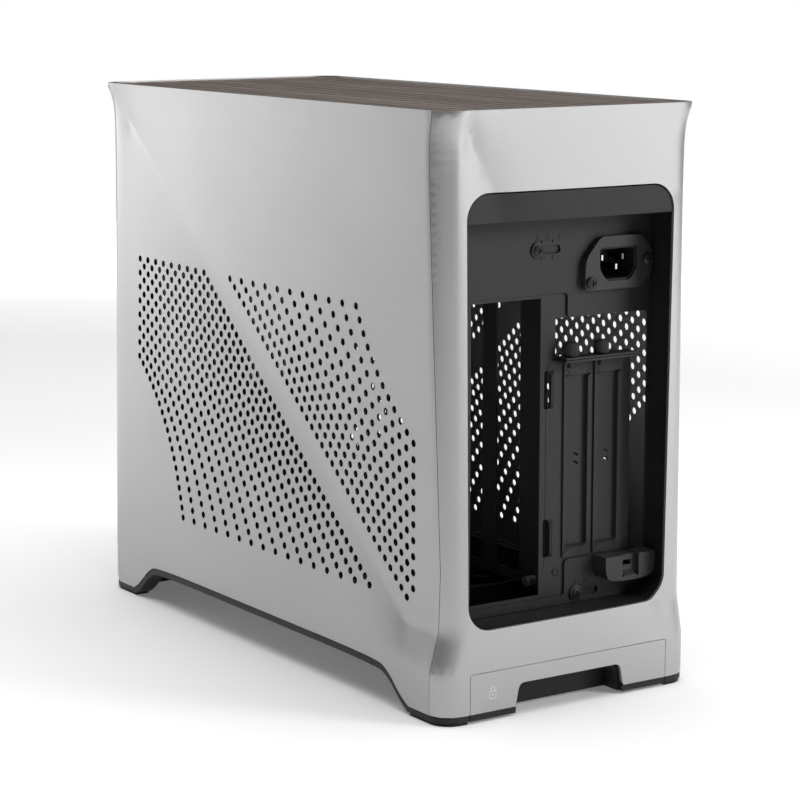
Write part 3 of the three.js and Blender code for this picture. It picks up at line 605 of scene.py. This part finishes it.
def face_offset(face, valley_z, z):
    """Distance of a face from the centre plane at height z."""
    if z <= SKIRT_TOP:
        return face["skirt"]
    fold = min(VALLEY_TOP, max(VALLEY_BOTTOM, valley_z))
    low = face["skirt"] + (face["valley"] - face["skirt"]) * (z - SKIRT_TOP) / (fold - SKIRT_TOP)
    high = face["rim"] + (face["valley"] - face["rim"]) * (HEIGHT - z) / (HEIGHT - fold)
    # The fold softens where it runs out into a corner.
    tip = min(1.0, max(0.0, (valley_z - face["tip"]) / TIP_REACH))
    return min(soft_max(low, high, FOLD_SOFTNESS + TIP_SOFTNESS * tip), max(face["rim"], face["skirt"]))


def side_fold(y, side):
    return HEIGHT - (HEIGHT - SKIRT_TOP) * (y * side + 183.3) / 351.5


def end_fold(x):
    return HEIGHT - (HEIGHT - SKIRT_TOP) * (68.5 - x) / 140.7


def side_offset(y, z, side):
    return face_offset(SIDE_FACE, side_fold(y, side), z)


def end_offset(x, z, end):
    return face_offset(END_FACES[end], end_fold(x), z)


def corner_centre(side, end, z):
    near_x = side * (HALF_WIDTH - CORNER_RADIUS)
    near_y = end * (HALF_LENGTH - CORNER_RADIUS)
    return side_offset(near_y, z, side) - CORNER_RADIUS, end_offset(near_x, z, end) - CORNER_RADIUS


def corner_point(side, end, angle, z, inset):
    x, y = corner_centre(side, end, z)
    radius = CORNER_RADIUS - inset
    return side * (x + radius * math.cos(angle)), end * (y + radius * math.sin(angle)), z


def seam_angle(z):
    """How far round the corner the upright seam between two panels lies."""
    low, waist, high = (math.radians(degrees) for degrees in (3, 19, 11))
    if z <= SKIRT_TOP:
        return low
    if z < 80:
        return low + (waist - low) * (z - SKIRT_TOP) / (80 - SKIRT_TOP)
    return waist + (high - waist) * (z - 80) / (HEIGHT - 80)


SEAM_SLACK = GAP / 2 / CORNER_RADIUS
SIDE_FLAT = HALF_LENGTH - CORNER_RADIUS
SIDE_STRAIGHT = 155.0
SIDE_EDGE = SIDE_FLAT + 4.0
END_FLAT = HALF_WIDTH - CORNER_RADIUS
END_EDGE = END_FLAT + 11.0


def side_point(side):
    """Lays a side panel's (length, height) sheet on the shell, with both ends wrapped round."""

    def locate(run, z, inset):
        end = 1 if run > 0 else -1
        reach = abs(run)
        if reach > SIDE_FLAT:
            angle = (seam_angle(z) - SEAM_SLACK) * (reach - SIDE_FLAT) / (SIDE_EDGE - SIDE_FLAT)
            return corner_point(side, end, angle, z, inset)
        y = reach
        if reach > SIDE_STRAIGHT:
            _, centre = corner_centre(side, end, z)
            y = SIDE_STRAIGHT + (centre - SIDE_STRAIGHT) * (reach - SIDE_STRAIGHT) / (SIDE_FLAT - SIDE_STRAIGHT)
        return side * (side_offset(run, z, side) - inset), end * y, z

    return locate


def end_point(end):
    """Lays an end panel's (width, height) sheet on the shell, as far as the seams."""

    def locate(run, z, inset):
        side = 1 if run > 0 else -1
        centre_x, centre_y = corner_centre(side, end, z)
        radius = CORNER_RADIUS - inset
        if abs(run) > END_FLAT:
            first = math.acos((END_FLAT - centre_x) / radius)
            last = seam_angle(z) + SEAM_SLACK
            part = (abs(run) - END_FLAT) / (END_EDGE - END_FLAT)
            return corner_point(side, end, first + (last - first) * part, z, inset)
        if abs(run) > centre_x:
            return run, end * (centre_y + math.sqrt(radius ** 2 - (abs(run) - centre_x) ** 2)), z
        return run, end * (end_offset(run, z, end) - inset), z

    return locate


def smooth_corners(points, rounds=3):
    """Cuts the corners of an open outline, and keeps its two ends."""
    for _ in range(rounds):
        cut = [points[0]]
        for (x0, y0), (x1, y1) in zip(points, points[1:]):
            cut += [(x0 + (x1 - x0) / 4, y0 + (y1 - y0) / 4), (x0 + (x1 - x0) * 3 / 4, y0 + (y1 - y0) * 3 / 4)]
        points = cut + [points[-1]]
    return points


ARCH_CURVE = smooth_corners(ARCH)


def arch_height(y):
    """Height of the shell's lower edge over the floor, on a long side."""
    run = sorted((x, z) for x, z in ARCH_CURVE)
    return float(np.interp(abs(y), [x for x, _ in run], [z for _, z in run]))


def fold_chains(fold_at, low, high, step):
    """Lines of points along the fold, beside it, and where the upright skirt begins."""
    runs = np.arange(low + 1, high - 0.5, step)
    chains = [[(float(run), SKIRT_TOP) for run in runs]]
    for offset in (0.0, 2.5, -2.5):
        chains.append([(float(run), min(VALLEY_TOP, max(VALLEY_BOTTOM, fold_at(run))) + offset) for run in runs])
    return chains


def grid_points(low, high, step_run, step_z, outline, fold_at):
    """Points spread over a sheet, away from the fold's own lines."""
    found = []
    for i, run in enumerate(np.arange(low + 3, high - 2, step_run)):
        for z in np.arange(10 + (i % 2) * step_z / 2, HEIGHT - 3, step_z):
            fold = min(VALLEY_TOP, max(VALLEY_BOTTOM, fold_at(run)))
            if abs(z - fold) > 5 and abs(z - SKIRT_TOP) > 2.5:
                found.append((float(run), float(z)))
    kept = inside_polygon(np.array(found), outline)
    return [point for point, inside in zip(found, kept) if inside]


def tip_points(runs, fold_at):
    """More points near both upper corners, where the fold runs out."""
    return [(end * float(run), float(z)) for end in (-1, 1) for run in runs for z in np.arange(286.5, HEIGHT - 1, 2.5)
            if abs(z - min(VALLEY_TOP, max(VALLEY_BOTTOM, fold_at(end * run)))) > 1.6]


# Rows of holes on each side of the fold. Each row is a curve from its first hole to its
# last, with its directions there in degrees, and its own number of evenly spaced holes.
FRONT_ROW_COUNTS = [19, 20, 22, 24, 26, 28, 31, 33, 33, 34, 34, 35, 35, 36, 37, 39]
REAR_ROW_COUNTS = [36, 34, 31, 28, 25, 22, 20, 17, 15, 13, 12]


def even_points(first, last, leave, arrive, count):
    """Evenly spaced points on a cubic curve between two points, with its end directions."""
    first, last = np.array(first, float), np.array(last, float)
    reach = 0.38 * np.hypot(*(last - first))
    p1 = first + reach * np.array([math.cos(math.radians(leave)), math.sin(math.radians(leave))])
    p2 = last - reach * np.array([math.cos(math.radians(arrive)), math.sin(math.radians(arrive))])
    t = np.linspace(0, 1, 300)[:, None]
    curve = (1 - t) ** 3 * first + 3 * (1 - t) ** 2 * t * p1 + 3 * (1 - t) * t ** 2 * p2 + t ** 3 * last
    length = np.r_[0, np.cumsum(np.hypot(*np.diff(curve, axis=0).T))]
    places = np.linspace(0, length[-1], count)
    return list(zip(np.interp(places, length, curve[:, 0]), np.interp(places, length, curve[:, 1])))


def perforation():
    """Centres of the right panel's holes: (length, height)."""
    holes = []
    for row, count in enumerate(FRONT_ROW_COUNTS):
        upright = min(row, 7)
        across = max(row - 7, 0)
        first = (-143.8 + 0.1 * upright + 9.52 * across, 150.6 + 8.46 * upright - 0.1 * across)
        last = (-89.2 + 13.27 * row - 0.5 * math.sin(math.pi * row / 15), 60.6)
        holes += even_points(first, last, -41, -75.6 + 2.38 * row, count)
    for row, count in enumerate(REAR_ROW_COUNTS):
        first = (-36.2 + 13.6 * row, 208.7)
        last = (149.3 + 0.3 * row, 58.2 + 8.56 * row) if row else (143.7, 61.0)
        holes += even_points(first, last, -39.9 - 2.65 * row, -39, count)
    return holes


def side_panel(node, side):
    lower = [(-x, z) for x, z in ARCH_CURVE] + [(x, z) for x, z in reversed(ARCH_CURVE[:-1])]
    outline = [(-SIDE_EDGE, SHELL_FOOT), *lower, (SIDE_EDGE, SHELL_FOOT), (SIDE_EDGE, HEIGHT), (-SIDE_EDGE, HEIGHT)]
    outline = divided(outline, 5.0)
    circles = [(y * side, z, HOLE_RADIUS) for y, z in perforation()]

    def fold_at(y):
        return side_fold(y, side)

    chains = [[point for point in chain if point[1] > arch_height(point[0]) + 0.8]
              for chain in fold_chains(fold_at, -SIDE_EDGE, SIDE_EDGE, 3.0)]
    chains = [far_from(chain, circles, [outline], 0.8) for chain in chains]
    grid = grid_points(-SIDE_EDGE, SIDE_EDGE, 8.0, 9.0, outline, fold_at)
    grid = far_from(grid, circles, [outline], 1.2)
    grid += [(end * run, z) for end in (-1, 1) for run in (SIDE_FLAT, SIDE_FLAT + 1.4, SIDE_FLAT + 2.8)
             for z in np.arange(8.0, HEIGHT - 2, 5.0)]
    grid += tip_points(np.arange(148.0, SIDE_FLAT - 1, 3.0), fold_at)
    sheet = sheet_mesh(outline, [], circles, grid, chains, side_point(side), PERFORATED_SKIN)
    stand_in(node, sheet, material=PERFORATED)


def end_panel(node, end, outline, holes):
    outline = divided(outline, 5.0)
    chains = fold_chains(end_fold, -END_EDGE, END_EDGE, 3.0)
    keep_off = [outline, *[divided(hole, 3.0) for hole in holes]]
    clear = []
    for chain in chains:
        points = np.array(chain)
        good = inside_polygon(points, outline)
        for hole in holes:
            good &= ~inside_polygon(points, hole)
        clear += far_from([point for point, ok in zip(chain, good) if ok], [], keep_off, 1.0)
    grid = grid_points(-END_FLAT, END_FLAT, 7.0, 9.0, outline, end_fold)
    grid += [(side * (END_FLAT + step), z) for side in (-1, 1) for step in (0, 1.6, 3.2, 4.8, 6.4, 8, 9.6)
             for z in np.arange(8.0, HEIGHT - 2, 5.0)]
    grid += tip_points(np.arange(52.0, END_EDGE - 1, 2.4), end_fold)
    inside = ~np.any([inside_polygon(np.array(grid), hole) for hole in holes], axis=0)
    grid = far_from([point for point, ok in zip(grid, inside) if ok], [], keep_off, 1.2)
    # The fold crosses the opening, so its points go in without edges between them.
    stand_in(node, sheet_mesh(outline, holes, [], grid + clear, [], end_point(end), SKIN))


def end_outline(cut):
    """The outline of an end panel, with an optional cut in its lower edge."""
    return [(-END_EDGE, SHELL_FOOT), *cut, (END_EDGE, SHELL_FOOT), (END_EDGE, HEIGHT), (-END_EDGE, HEIGHT)]


def opening_outline(grow, steps=12):
    half = OPENING["half_width"] + grow
    return rounded_rectangle(-half, half, OPENING["bottom"] - grow, OPENING["top"] + grow, OPENING["radius"] + grow, steps)


def build_shell():
    side_panel("side_panel_right", 1)
    side_panel("side_panel_left", -1)
    half, top, radius = DRAWER["half_width"] + GAP, DRAWER["top"] + GAP, 1.5
    cut = [(-half, SHELL_FOOT), *arc(-half + radius, top - radius, radius, 180, 90, 5),
           *arc(half - radius, top - radius, radius, 90, 0, 5), (half, SHELL_FOOT)]
    end_panel("rear_panel", 1, end_outline(cut), [divided(opening_outline(0), 5.0)])
    ports = rounded_rectangle(*PORTS["x"], *PORTS["z"], PORTS["radius"])
    end_panel("front_panel", -1, end_outline([]), [circle(BUTTON["x"], BUTTON["z"], BUTTON["radius"], 36), ports])


# ---- Rear recess ------------------------------------------------------------


def rounded_polygon(points, cut, steps=5):
    """A closed outline with each corner rounded off over that length of its two edges."""
    result = []
    count = len(points)
    for i, (x, y) in enumerate(points):
        ends = []
        for nx, ny in (points[i - 1], points[(i + 1) % count]):
            length = math.hypot(nx - x, ny - y)
            part = min(cut, length * 0.48) / length
            ends.append((x + (nx - x) * part, y + (ny - y) * part))
        (x0, y0), (x1, y1) = ends
        for k in range(steps + 1):
            t = k / steps
            result.append(((1 - t) ** 2 * x0 + 2 * t * (1 - t) * x + t * t * x1,
                           (1 - t) ** 2 * y0 + 2 * t * (1 - t) * y + t * t * y1))
    return result


def rectangle(x0, x1, z0, z1):
    return [(x0, z0), (x1, z0), (x1, z1), (x0, z1)]


def closed(loop):
    return [*loop, loop[0]]


def facing_rear(level):
    """Lays an (x, z) sheet at a rearward level, given as a number or as a function of place."""
    at = level if callable(level) else lambda x, z: level
    return lambda x, z, inset: (x, at(x, z) - inset, z)


def ramp_in(distance, slope):
    """0 outside an edge, 1 once the slope's whole width inside it."""
    return min(1.0, max(0.0, distance / slope))


def add_shape(bm, other):
    """Adds another mesh's faces to this one."""
    copies = {vert: bm.verts.new(vert.co) for vert in other.verts}
    for face in other.faces:
        bm.faces.new([copies[vert] for vert in face.verts])
    other.free()


def add_stroke(bm, points, width, y0, y1):
    """A flat line of even width along the points, facing the rear."""
    left, right = [], []
    for i, (x, z) in enumerate(points):
        (ax, az), (bx, bz) = points[max(i - 1, 0)], points[min(i + 1, len(points) - 1)]
        length = math.hypot(bx - ax, bz - az)
        nx, nz = -(bz - az) / length * width / 2, (bx - ax) / length * width / 2
        left.append((x + nx, z + nz))
        right.append((x - nx, z - nz))
    add_prism(bm, "y", left + right[::-1], y0, y1)


def slot_cover(index):
    """A blank cover with a long pressed panel and two small slots."""
    x, half = SLOT_X[index], SLOT_COVER["half_width"]
    bottom, top, press = SLOT_COVER["bottom"], SLOT_COVER["top"], SLOT_COVER["press"]
    rear = SPINE_REAR + 1.1
    rim = rounded_rectangle(x - 6.6, x + 6.6, bottom + 5, top - 8, 1.6, 4)
    floor = rounded_rectangle(x - 6.1, x + 6.1, bottom + 6.4, top - 8.5, 1.2, 4)

    def level(px, pz):
        # The lower end of the pressing slopes more than its other three sides.
        depth = min(px - (x - 6.6), x + 6.6 - px, (pz - bottom - 5) * 0.36, top - 8 - pz)
        return rear - press * ramp_in(depth, 0.5)

    outline = divided(rectangle(x - half, x + half, bottom, top), 8.0)
    marks = [[(x - 2.2, z), (x + 0.6, z + 1.4), (x + 0.6, z + 2.8), (x - 2.2, z + 1.4)] for z in (122.4, 126.8)]
    grid = [(x + dx, z) for dx in (-4, 0, 4) for z in np.arange(bottom + 12, top - 12, 12.0)]
    grid = far_from(grid, [], marks, 2.5)
    bm = sheet_mesh(outline, marks, [], grid, [closed(rim), closed(floor)], facing_rear(level), 0.9)
    stand_in("slot_cover_%d" % (index + 1), bm, 0.15)


def spine_plate():
    """The sliding plate round the board's ports and the slots, with its shelf and lanced tabs."""
    x0, x1, z0, z1 = IO_OPENING
    outline = rounded_polygon([(54, 50.8), (54, 222), (14, 222), (14, 247), (-7.5, 247), (-7.5, 219), (-14.6, 219),
                               (-14.6, 202.3), (-6.4, 202.3), (-6.4, 181), (-57, 181), (-57, 66), (-35, 66), (-35, 46.6),
                               (-8, 46.6), (-8, 50.8)], 1.2, 3)
    holes = [rectangle(x0, x1, z0, z1)]
    holes += [rectangle(x - 6.8, x + 6.8, 78, 172) for x in SLOT_X]
    chains = []
    for z in LANCE_HEIGHTS:
        holes.append(rounded_rectangle(-2.1, 0.6, z - 10.2, z + 10.2, 1.3, 5))
        chains += [[(-2.2, z - 8), (-2.9, z - 8), (-2.9, z + 8), (-2.2, z + 8)],
                   [(-2.2, z - 10.2), (-5.6, z - 10.2), (-5.6, z + 10.2), (-2.2, z + 10.2)]]

    def level(px, pz):
        raised = 0.0
        if px <= -2.0:
            for z in LANCE_HEIGHTS:
                raised = max(raised, ramp_in(min((px + 5.6) / 2.7, (10.2 - abs(pz - z)) / 2.2), 1.0))
        return SPINE_REAR + LANCE_RISE * raised

    for adjuster in ADJUSTERS:
        holes.append(circle(adjuster["x"], adjuster["z"], 1.8, 12))
    bm = sheet_mesh(divided(outline, 12.0), holes, [], [], chains, facing_rear(level), SHEET)
    shelf_holes = [circle(x + SCREW_OFFSET, SPINE_REAR + 5.6, 2.2, 16) for x in SLOT_X]
    shelf = rounded_rectangle(-54, -5.4, SPINE_REAR - 0.5, SPINE_REAR + 10.5, 0.8, 3)
    add_shape(bm, sheet_mesh(shelf, shelf_holes, [], [], [], lambda x, y, inset: (x, y, SHELF_TOP - inset), SHEET))
    add_lathe(bm, "y", [(0, SPINE_REAR - 0.4), (2.5, SPINE_REAR - 0.4), (2.5, SPINE_REAR + 0.25), (2.1, SPINE_REAR + 0.55),
                        (1.5, SPINE_REAR + 0.55), (1.2, SPINE_REAR + 0.2), (0.6, SPINE_REAR + 0.2), (0.5, SPINE_REAR + 0.45),
                        (0, SPINE_REAR + 0.45)], -8.0, 66.0, 24)
    stand_in("spine_plate", bm, 0.12)


def inlet_outline(grow):
    x, z = INLET
    w, top, foot = 12.6 + grow, 8.6 + grow, 9.6 + grow
    points = [(x - w, z + top), (x - w, z - 3), (x - 7.6, z - foot), (x + 7.6, z - foot), (x + w, z - 3), (x + w, z + top)]
    return rounded_polygon(points, 1.6, 4)


DIGIT_STROKES = {
    "1": [(0, -1.6), (0, 1.6)],
    "2": [(-0.9, 0.8), *[(0.9 * math.cos(a) * -1, 0.7 + 0.9 * math.sin(a)) for a in np.linspace(0.2, math.pi, 8)],
          (0.6, -0.2), (-0.9, -1.6), (1.0, -1.6)],
    "3": [(-0.9, 1.25), (-0.3, 1.6), (0.5, 1.55), (0.85, 1.0), (0.6, 0.35), (-0.1, 0.1), (0.65, -0.2), (0.95, -0.85),
          (0.55, -1.45), (-0.3, -1.6), (-0.95, -1.2)],
}


def rear_wall():
    """The fixed wall: openings for the spine, the inlet and the two adjusters, with their scales."""
    half, edge = RECESS_HALF_WIDTH + 6, RECESS_HALF_WIDTH - 1
    opening = rounded_polygon([(56, 52.8), (56, 215.6), (-13.3, 215.6), (-13.3, 202.4), (-edge, 202.4), (-edge, 72.2),
                               (-13, 72.2), (-13, 52.8)], 2.6, 4)
    holes = [divided(opening, 14.0), inlet_outline(1)]
    for adjuster in ADJUSTERS:
        x, z = adjuster["x"], adjuster["z"]
        holes.append(rounded_rectangle(x - ADJUSTER_TRAVEL - 2.2, x + 2.2, z - 2.2, z + 2.2, 2.19, 6))
    holes += [circle(x, z, 1.8, 12) for x, z in INLET_SCREWS]
    outline = divided(rounded_rectangle(-half, half, 48, 262, 3, 4), 20.0)
    bm = sheet_mesh(outline, holes, [], [], [], facing_rear(WALL_REAR), 1.0)
    for adjuster in ADJUSTERS:
        for digit, step in (("3", 0.4), ("2", -6.6), ("1", -14.0)):
            centre = adjuster["x"] + step
            # Seen from behind the case, +X is on the left, so the strokes are mirrored.
            points = [(centre - a, adjuster["digits"] + b) for a, b in DIGIT_STROKES[digit]]
            add_stroke(bm, points, 0.42, WALL_REAR - 0.3, WALL_REAR + 0.22)
        for step in (-3.2, -10.2):
            for rise in (4.3, -4.1):
                dome = [(0, -0.3), (0.85, -0.3), (0.85, 0.1), (0.6, 0.45), (0, 0.6)]
                profile = [(radius, WALL_REAR + along) for radius, along in dome]
                add_lathe(bm, "y", profile, adjuster["x"] + step, adjuster["z"] + rise, 14)
    stand_in("rear_wall", bm, 0.12)


def cross_outline(x, z, reach, half):
    return [(x + a, z + b) for a, b in ((-half, -reach), (half, -reach), (half, -half), (reach, -half), (reach, half),
                                        (half, half), (half, reach), (-half, reach), (-half, half), (-reach, half),
                                        (-reach, -half), (-half, -half))]


def cross_screw(node, x, z, bearing, head, washer):
    """A domed cross-head screw, with a washer where it has one."""
    def locate(px, pz, inset):
        if inset:
            return px, bearing + 0.6, pz
        return px, bearing + 2.2 - 0.9 * min(1.0, math.hypot(px - x, pz - z) / head) ** 2.4, pz

    cross = cross_outline(x, z, head * 0.55, 0.42)
    grid = [point for radius in (0.62, 0.8, 0.92) for point in circle(x, z, head * radius, 24)]
    bm = sheet_mesh(circle(x, z, head, 28), [cross], [], far_from(grid, [], [cross], 0.2), [], locate, 1.0)
    add_lathe(bm, "y", [(0, bearing - 5), (1.5, bearing - 5), (1.5, bearing + 0.3), (head - 0.05, bearing + 0.3),
                        (head - 0.05, bearing + 0.9), (0, bearing + 0.9)], x, z, 28)
    if washer:
        add_lathe(bm, "y", [(0, bearing + 0.2), (washer, bearing + 0.2), (washer, bearing + 0.85),
                            (washer - 0.3, bearing + 1.0), (0, bearing + 1.0)], x, z, 32)
    stand_in(node, bm)


def thumbscrew(index):
    """A knurled thumbscrew with broken edges."""
    x, y = SLOT_X[index] + SCREW_OFFSET, SPINE_REAR + 5.6
    foot = SHELF_TOP + GAP + 1.3
    top = foot + 7.3
    steps = 96
    bm = bmesh.new()
    loops = []
    for radius, z, knurl in ((3.4, foot, 0), (3.95, foot + 0.6, 0.13), (3.95, top - 1.1, 0.13), (3.3, top - 0.2, 0), (2.6, top, 0)):
        loops.append([bm.verts.new((x + (radius - knurl * (k % 2)) * math.cos(2 * math.pi * k / steps),
                                    y + (radius - knurl * (k % 2)) * math.sin(2 * math.pi * k / steps), z))
                      for k in range(steps)])
    bm.faces.new(loops[0])
    for low, high in zip(loops, loops[1:]):
        for k in range(steps):
            bm.faces.new((low[k], low[(k + 1) % steps], high[(k + 1) % steps], high[k]))
    bm.faces.new(loops[-1])
    add_lathe(bm, "z", [(0, foot - 6.3), (1.8, foot - 6.3), (1.8, foot + 0.4), (0, foot + 0.4)], x, y, 16)
    stand_in("thumbscrew_%d" % (index + 1), bm)


def ac_inlet():
    """The mains socket: a rounded flange, an inner rim and the deep socket behind it."""
    x, z = INLET
    flange = rounded_polygon([(x + 12, z + 14.4), (x - 15, z + 14.4), (x - 22.8, z + 6), (x - 22.2, z - 7), (x - 15.5, z - 14),
                              (x + 14, z - 14), (x + 22.2, z - 13.6), (x + 22.2, z - 5), (x + 21.6, z + 3.2)], 3.4, 5)
    bores = [circle(a, b, 1.8, 12) for a, b in INLET_SCREWS]
    bm = sheet_mesh(flange, [inlet_outline(-0.2), *bores], [], [], [], facing_rear(WALL_REAR + 4), 3.8)
    stand_in("ac_inlet", bm, 0.25)
    core = sheet_mesh(inlet_outline(0.6), [inlet_outline(-1.2)], [], [], [], facing_rear(WALL_REAR + 2.6), 16.0)
    add_prism(core, "y", inlet_outline(-0.6), WALL_REAR - 17.5, WALL_REAR - 13.4)
    finish_piece("ac_inlet_core", core, body_of_node["ac_inlet"], "black_plastic", 0.2)


def cable_anchor():
    """A half-round anchor with an open pocket, a slot through its back and a sloping sill."""
    rear, back = WALL_REAR + 11, WALL_REAR + 0.2
    foot = smooth_corners([(-66.3, 72.5), (-66.2, 63.0), (-62.5, 58.4), (-36.2, 58.4), (-32.5, 63.0), (-32.4, 72.5)], 3)
    bm = bmesh.new()
    add_prism(bm, "y", [*foot, (-44, 72.5), (-44, 60.6), (-55, 60.6), (-55, 72.5)], back, rear)
    block = rectangle(-55.2, -43.8, 59.6, 71.9)
    add_shape(bm, sheet_mesh(block, [rectangle(-52, -45, 66.2, 68.9)], [], [], [], facing_rear(WALL_REAR + 7.5), 7.3))
    add_prism(bm, "x", [(WALL_REAR + 7.2, 60.0), (rear - 0.3, 60.0), (rear - 0.3, 60.9), (WALL_REAR + 7.2, 63.4)], -53.6, -45.4)
    stand_in("cable_anchor", bm, 0.3)


def recess_liner():
    half = RECESS_HALF_WIDTH
    outer = rounded_rectangle(-half - 1, half + 1, 46.6, 274, 15, 12)
    inner = rounded_rectangle(-half, half, 47.8, 272.8, 14, 12)
    front = WALL_REAR + GAP
    stand_in("recess_liner", sheet_mesh(outer, [inner], [], [], [], facing_rear(177.2), 177.2 - front))


def rear_header():
    """The dark strip over the recess, folded along with the panel round it."""
    half, top, radius = (OPENING[key] - HEADER_GAP for key in ("half_width", "top", "radius"))
    outline = [(-half, HEADER_BOTTOM), (half, HEADER_BOTTOM), *arc(half - radius, top - radius, radius, 0, 90, 10),
               *arc(radius - half, top - radius, radius, 90, 180, 10)]
    outline = divided([point for point in outline if point[1] >= HEADER_BOTTOM], 5.0)
    fold = [(x, end_fold(x)) for x in np.linspace(39.8, 48.2, 4)]
    grid = far_from([(float(x), 264.5) for x in np.arange(-58, 60, 6)], [], [fold], 2.0)
    locate = facing_rear(lambda x, z: end_offset(x, z, 1) - 0.8)
    stand_in("rear_header", sheet_mesh(outline, [], [], grid, [fold], locate, 2.2), 0.2)


def build_recess():
    for index in range(len(SLOT_X)):
        slot_cover(index)
        thumbscrew(index)
    spine_plate()
    rear_wall()
    for number, adjuster in enumerate(ADJUSTERS, 1):
        cross_screw("adjuster_screw_%d" % number, adjuster["x"], adjuster["z"], WALL_REAR, 2.9, 4.2)
    for number, (x, z) in enumerate(INLET_SCREWS, 1):
        cross_screw("inlet_screw_%d" % number, x, z, WALL_REAR + 4, 3.1, 0)
    ac_inlet()
    cable_anchor()
    recess_liner()
    rear_header()


# ---- Base -------------------------------------------------------------------


def plan_path(inset):
    """The base's plan from the drawer, forwards round the case and back to the drawer."""
    x, y = SIDE_FACE["skirt"] - inset, HALF_LENGTH - inset
    radius = max(1.0, CORNER_RADIUS - inset)
    sides = sorted({run for run, _ in ARCH_CURVE} | {-run for run, _ in ARCH_CURVE}, reverse=True)
    corner = 8
    bay = DRAWER["half_width"] + GAP
    path = [(bay, y), *reversed(arc(x - radius, y - radius, radius, 0, 90, corner))]
    path += [(x, run) for run in sides]
    path += reversed(arc(x - radius, radius - y, radius, -90, 0, corner))
    path += [(run, -y) for run in (30, 0, -30)]
    path += reversed(arc(radius - x, radius - y, radius, -180, -90, corner))
    path += [(-x, run) for run in reversed(sides)]
    path += [*reversed(arc(radius - x, y - radius, radius, 90, 180, corner)), (-bay, y)]
    return path


def base_ring():
    rings = []
    ledge = SKIN + 0.5
    levels = [(0.3, "foot"), (0.3, "edge"), (ledge, "edge"), (ledge, "top"), (11.0, "top"), (11.0, "foot")]
    for inset, level in levels:
        ring = []
        for x, y in plan_path(inset):
            edge = arch_height(y) if abs(y) < ARCH[0][0] else SHELL_FOOT
            z = {"foot": max(1.5, edge - RING_THICKNESS), "edge": edge - GAP, "top": 25.0}[level]
            ring.append((x, y, z))
        rings.append(ring)
    bm = bmesh.new()
    rows = [[bm.verts.new(point) for point in ring] for ring in rings]
    for low, high in zip(rows, rows[1:] + rows[:1]):
        for i in range(len(low) - 1):
            bm.faces.new((low[i], low[i + 1], high[i + 1], high[i]))
    bm.faces.new([row[0] for row in rows])
    bm.faces.new([row[-1] for row in reversed(rows)])
    stand_in("base_ring", bm, 0.5, 40)


def notch_outline():
    """The drawer's finger notch, from its left foot over the top to its right foot."""
    half, top_half, top = DRAWER["notch_half"], DRAWER["notch_top_half"], DRAWER["notch_top"]
    curve = smooth_corners([(half, SHELL_FOOT), (half - 1, 7), (half - 2.2, top - 2.6), (half - 4, top), (top_half - 2, top)], 3)
    return [(-x, z) for x, z in curve] + [(x, z) for x, z in reversed(curve)]


def drawer_front():
    half, top, radius = DRAWER["half_width"], DRAWER["top"], 1.2
    outline = [(-half, SHELL_FOOT), *notch_outline(), (half, SHELL_FOOT),
               *arc(half - radius, top - radius, radius, 0, 90, 5), *arc(radius - half, top - radius, radius, 90, 180, 5)]
    bm = bmesh.new()
    add_prism(bm, "y", outline, HALF_LENGTH - SKIN, HALF_LENGTH)
    stand_in("drawer_front", bm, 0.25)


def padlock_mark():
    """A small open padlock printed on the drawer, shown by its outline."""
    x, z, skin = 50.2, 11.6, (HALF_LENGTH - 0.1, HALF_LENGTH + 0.015)
    bm = bmesh.new()
    half, tall, line = 2.2, 4.4, 0.5
    for x0, x1, z0, z1 in ((-half, half, 0, line), (-half, half, tall - line, tall),
                           (-half, line - half, line, tall - line), (half - line, half, line, tall - line)):
        add_box(bm, x + x0, x + x1, *skin, z + z0, z + z1)
    add_prism(bm, "y", circle(x, z + tall / 2, 0.55, 12), *skin)
    rise = z + tall + 1.1
    shackle = arc(x, rise, 1.4, 0, 180, 10) + arc(x, rise, 0.9, 180, 0, 10)
    add_prism(bm, "y", shackle, *skin)
    add_box(bm, x - 1.4, x - 0.9, *skin, z + tall, rise)
    add_box(bm, x + 0.9, x + 1.4, *skin, z + tall, rise)
    finish_piece("padlock_mark", bm, "lock_drawer", "anodised_aluminium", material=PRINTED_MARK)


def build_base():
    base_ring()
    drawer_front()
    padlock_mark()


# ---- Top --------------------------------------------------------------------


def top_panel():
    half_x, half_y = HALF_WIDTH - TOP_INSET, HALF_LENGTH - TOP_INSET
    outline = divided(rounded_rectangle(-half_x, half_x, -half_y, half_y, CORNER_RADIUS - TOP_INSET), 20.0)
    slots = []
    for i in range(TOP_SLOTS["count"]):
        centre = (i - (TOP_SLOTS["count"] - 1) / 2) * TOP_SLOTS["pitch"]
        half, reach = TOP_SLOTS["width"] / 2, TOP_SLOTS["half_length"]
        slots.append(rounded_rectangle(centre - half, centre + half, -reach, reach, half - 0.01, 6))
    locate = lambda x, y, inset: (x, y, TOP_FACE - inset)
    stand_in("top_panel", sheet_mesh(outline, slots, [], [], [], locate, TOP_THICKNESS), 0.4)


# ---- Carried-over parts -----------------------------------------------------


def finish_cad_nodes():
    """Every part of the frame that still shows gets its finish and slightly broken edges."""
    for name, part in nodes.items():
        if part.hide_render:
            continue
        part.data.materials.clear()
        part.data.materials.append(PINS.get(name, MATERIALS[slot_of_node[name]]))
        part.data.polygons.foreach_set("use_smooth", [True] * len(part.data.polygons))
        part.data.set_sharp_from_angle(angle=math.radians(32))
        add_bevel(part, 0.2, 2)


add_camera()
add_studio()
build_shell()
build_recess()
build_base()
top_panel()
finish_cad_nodes()
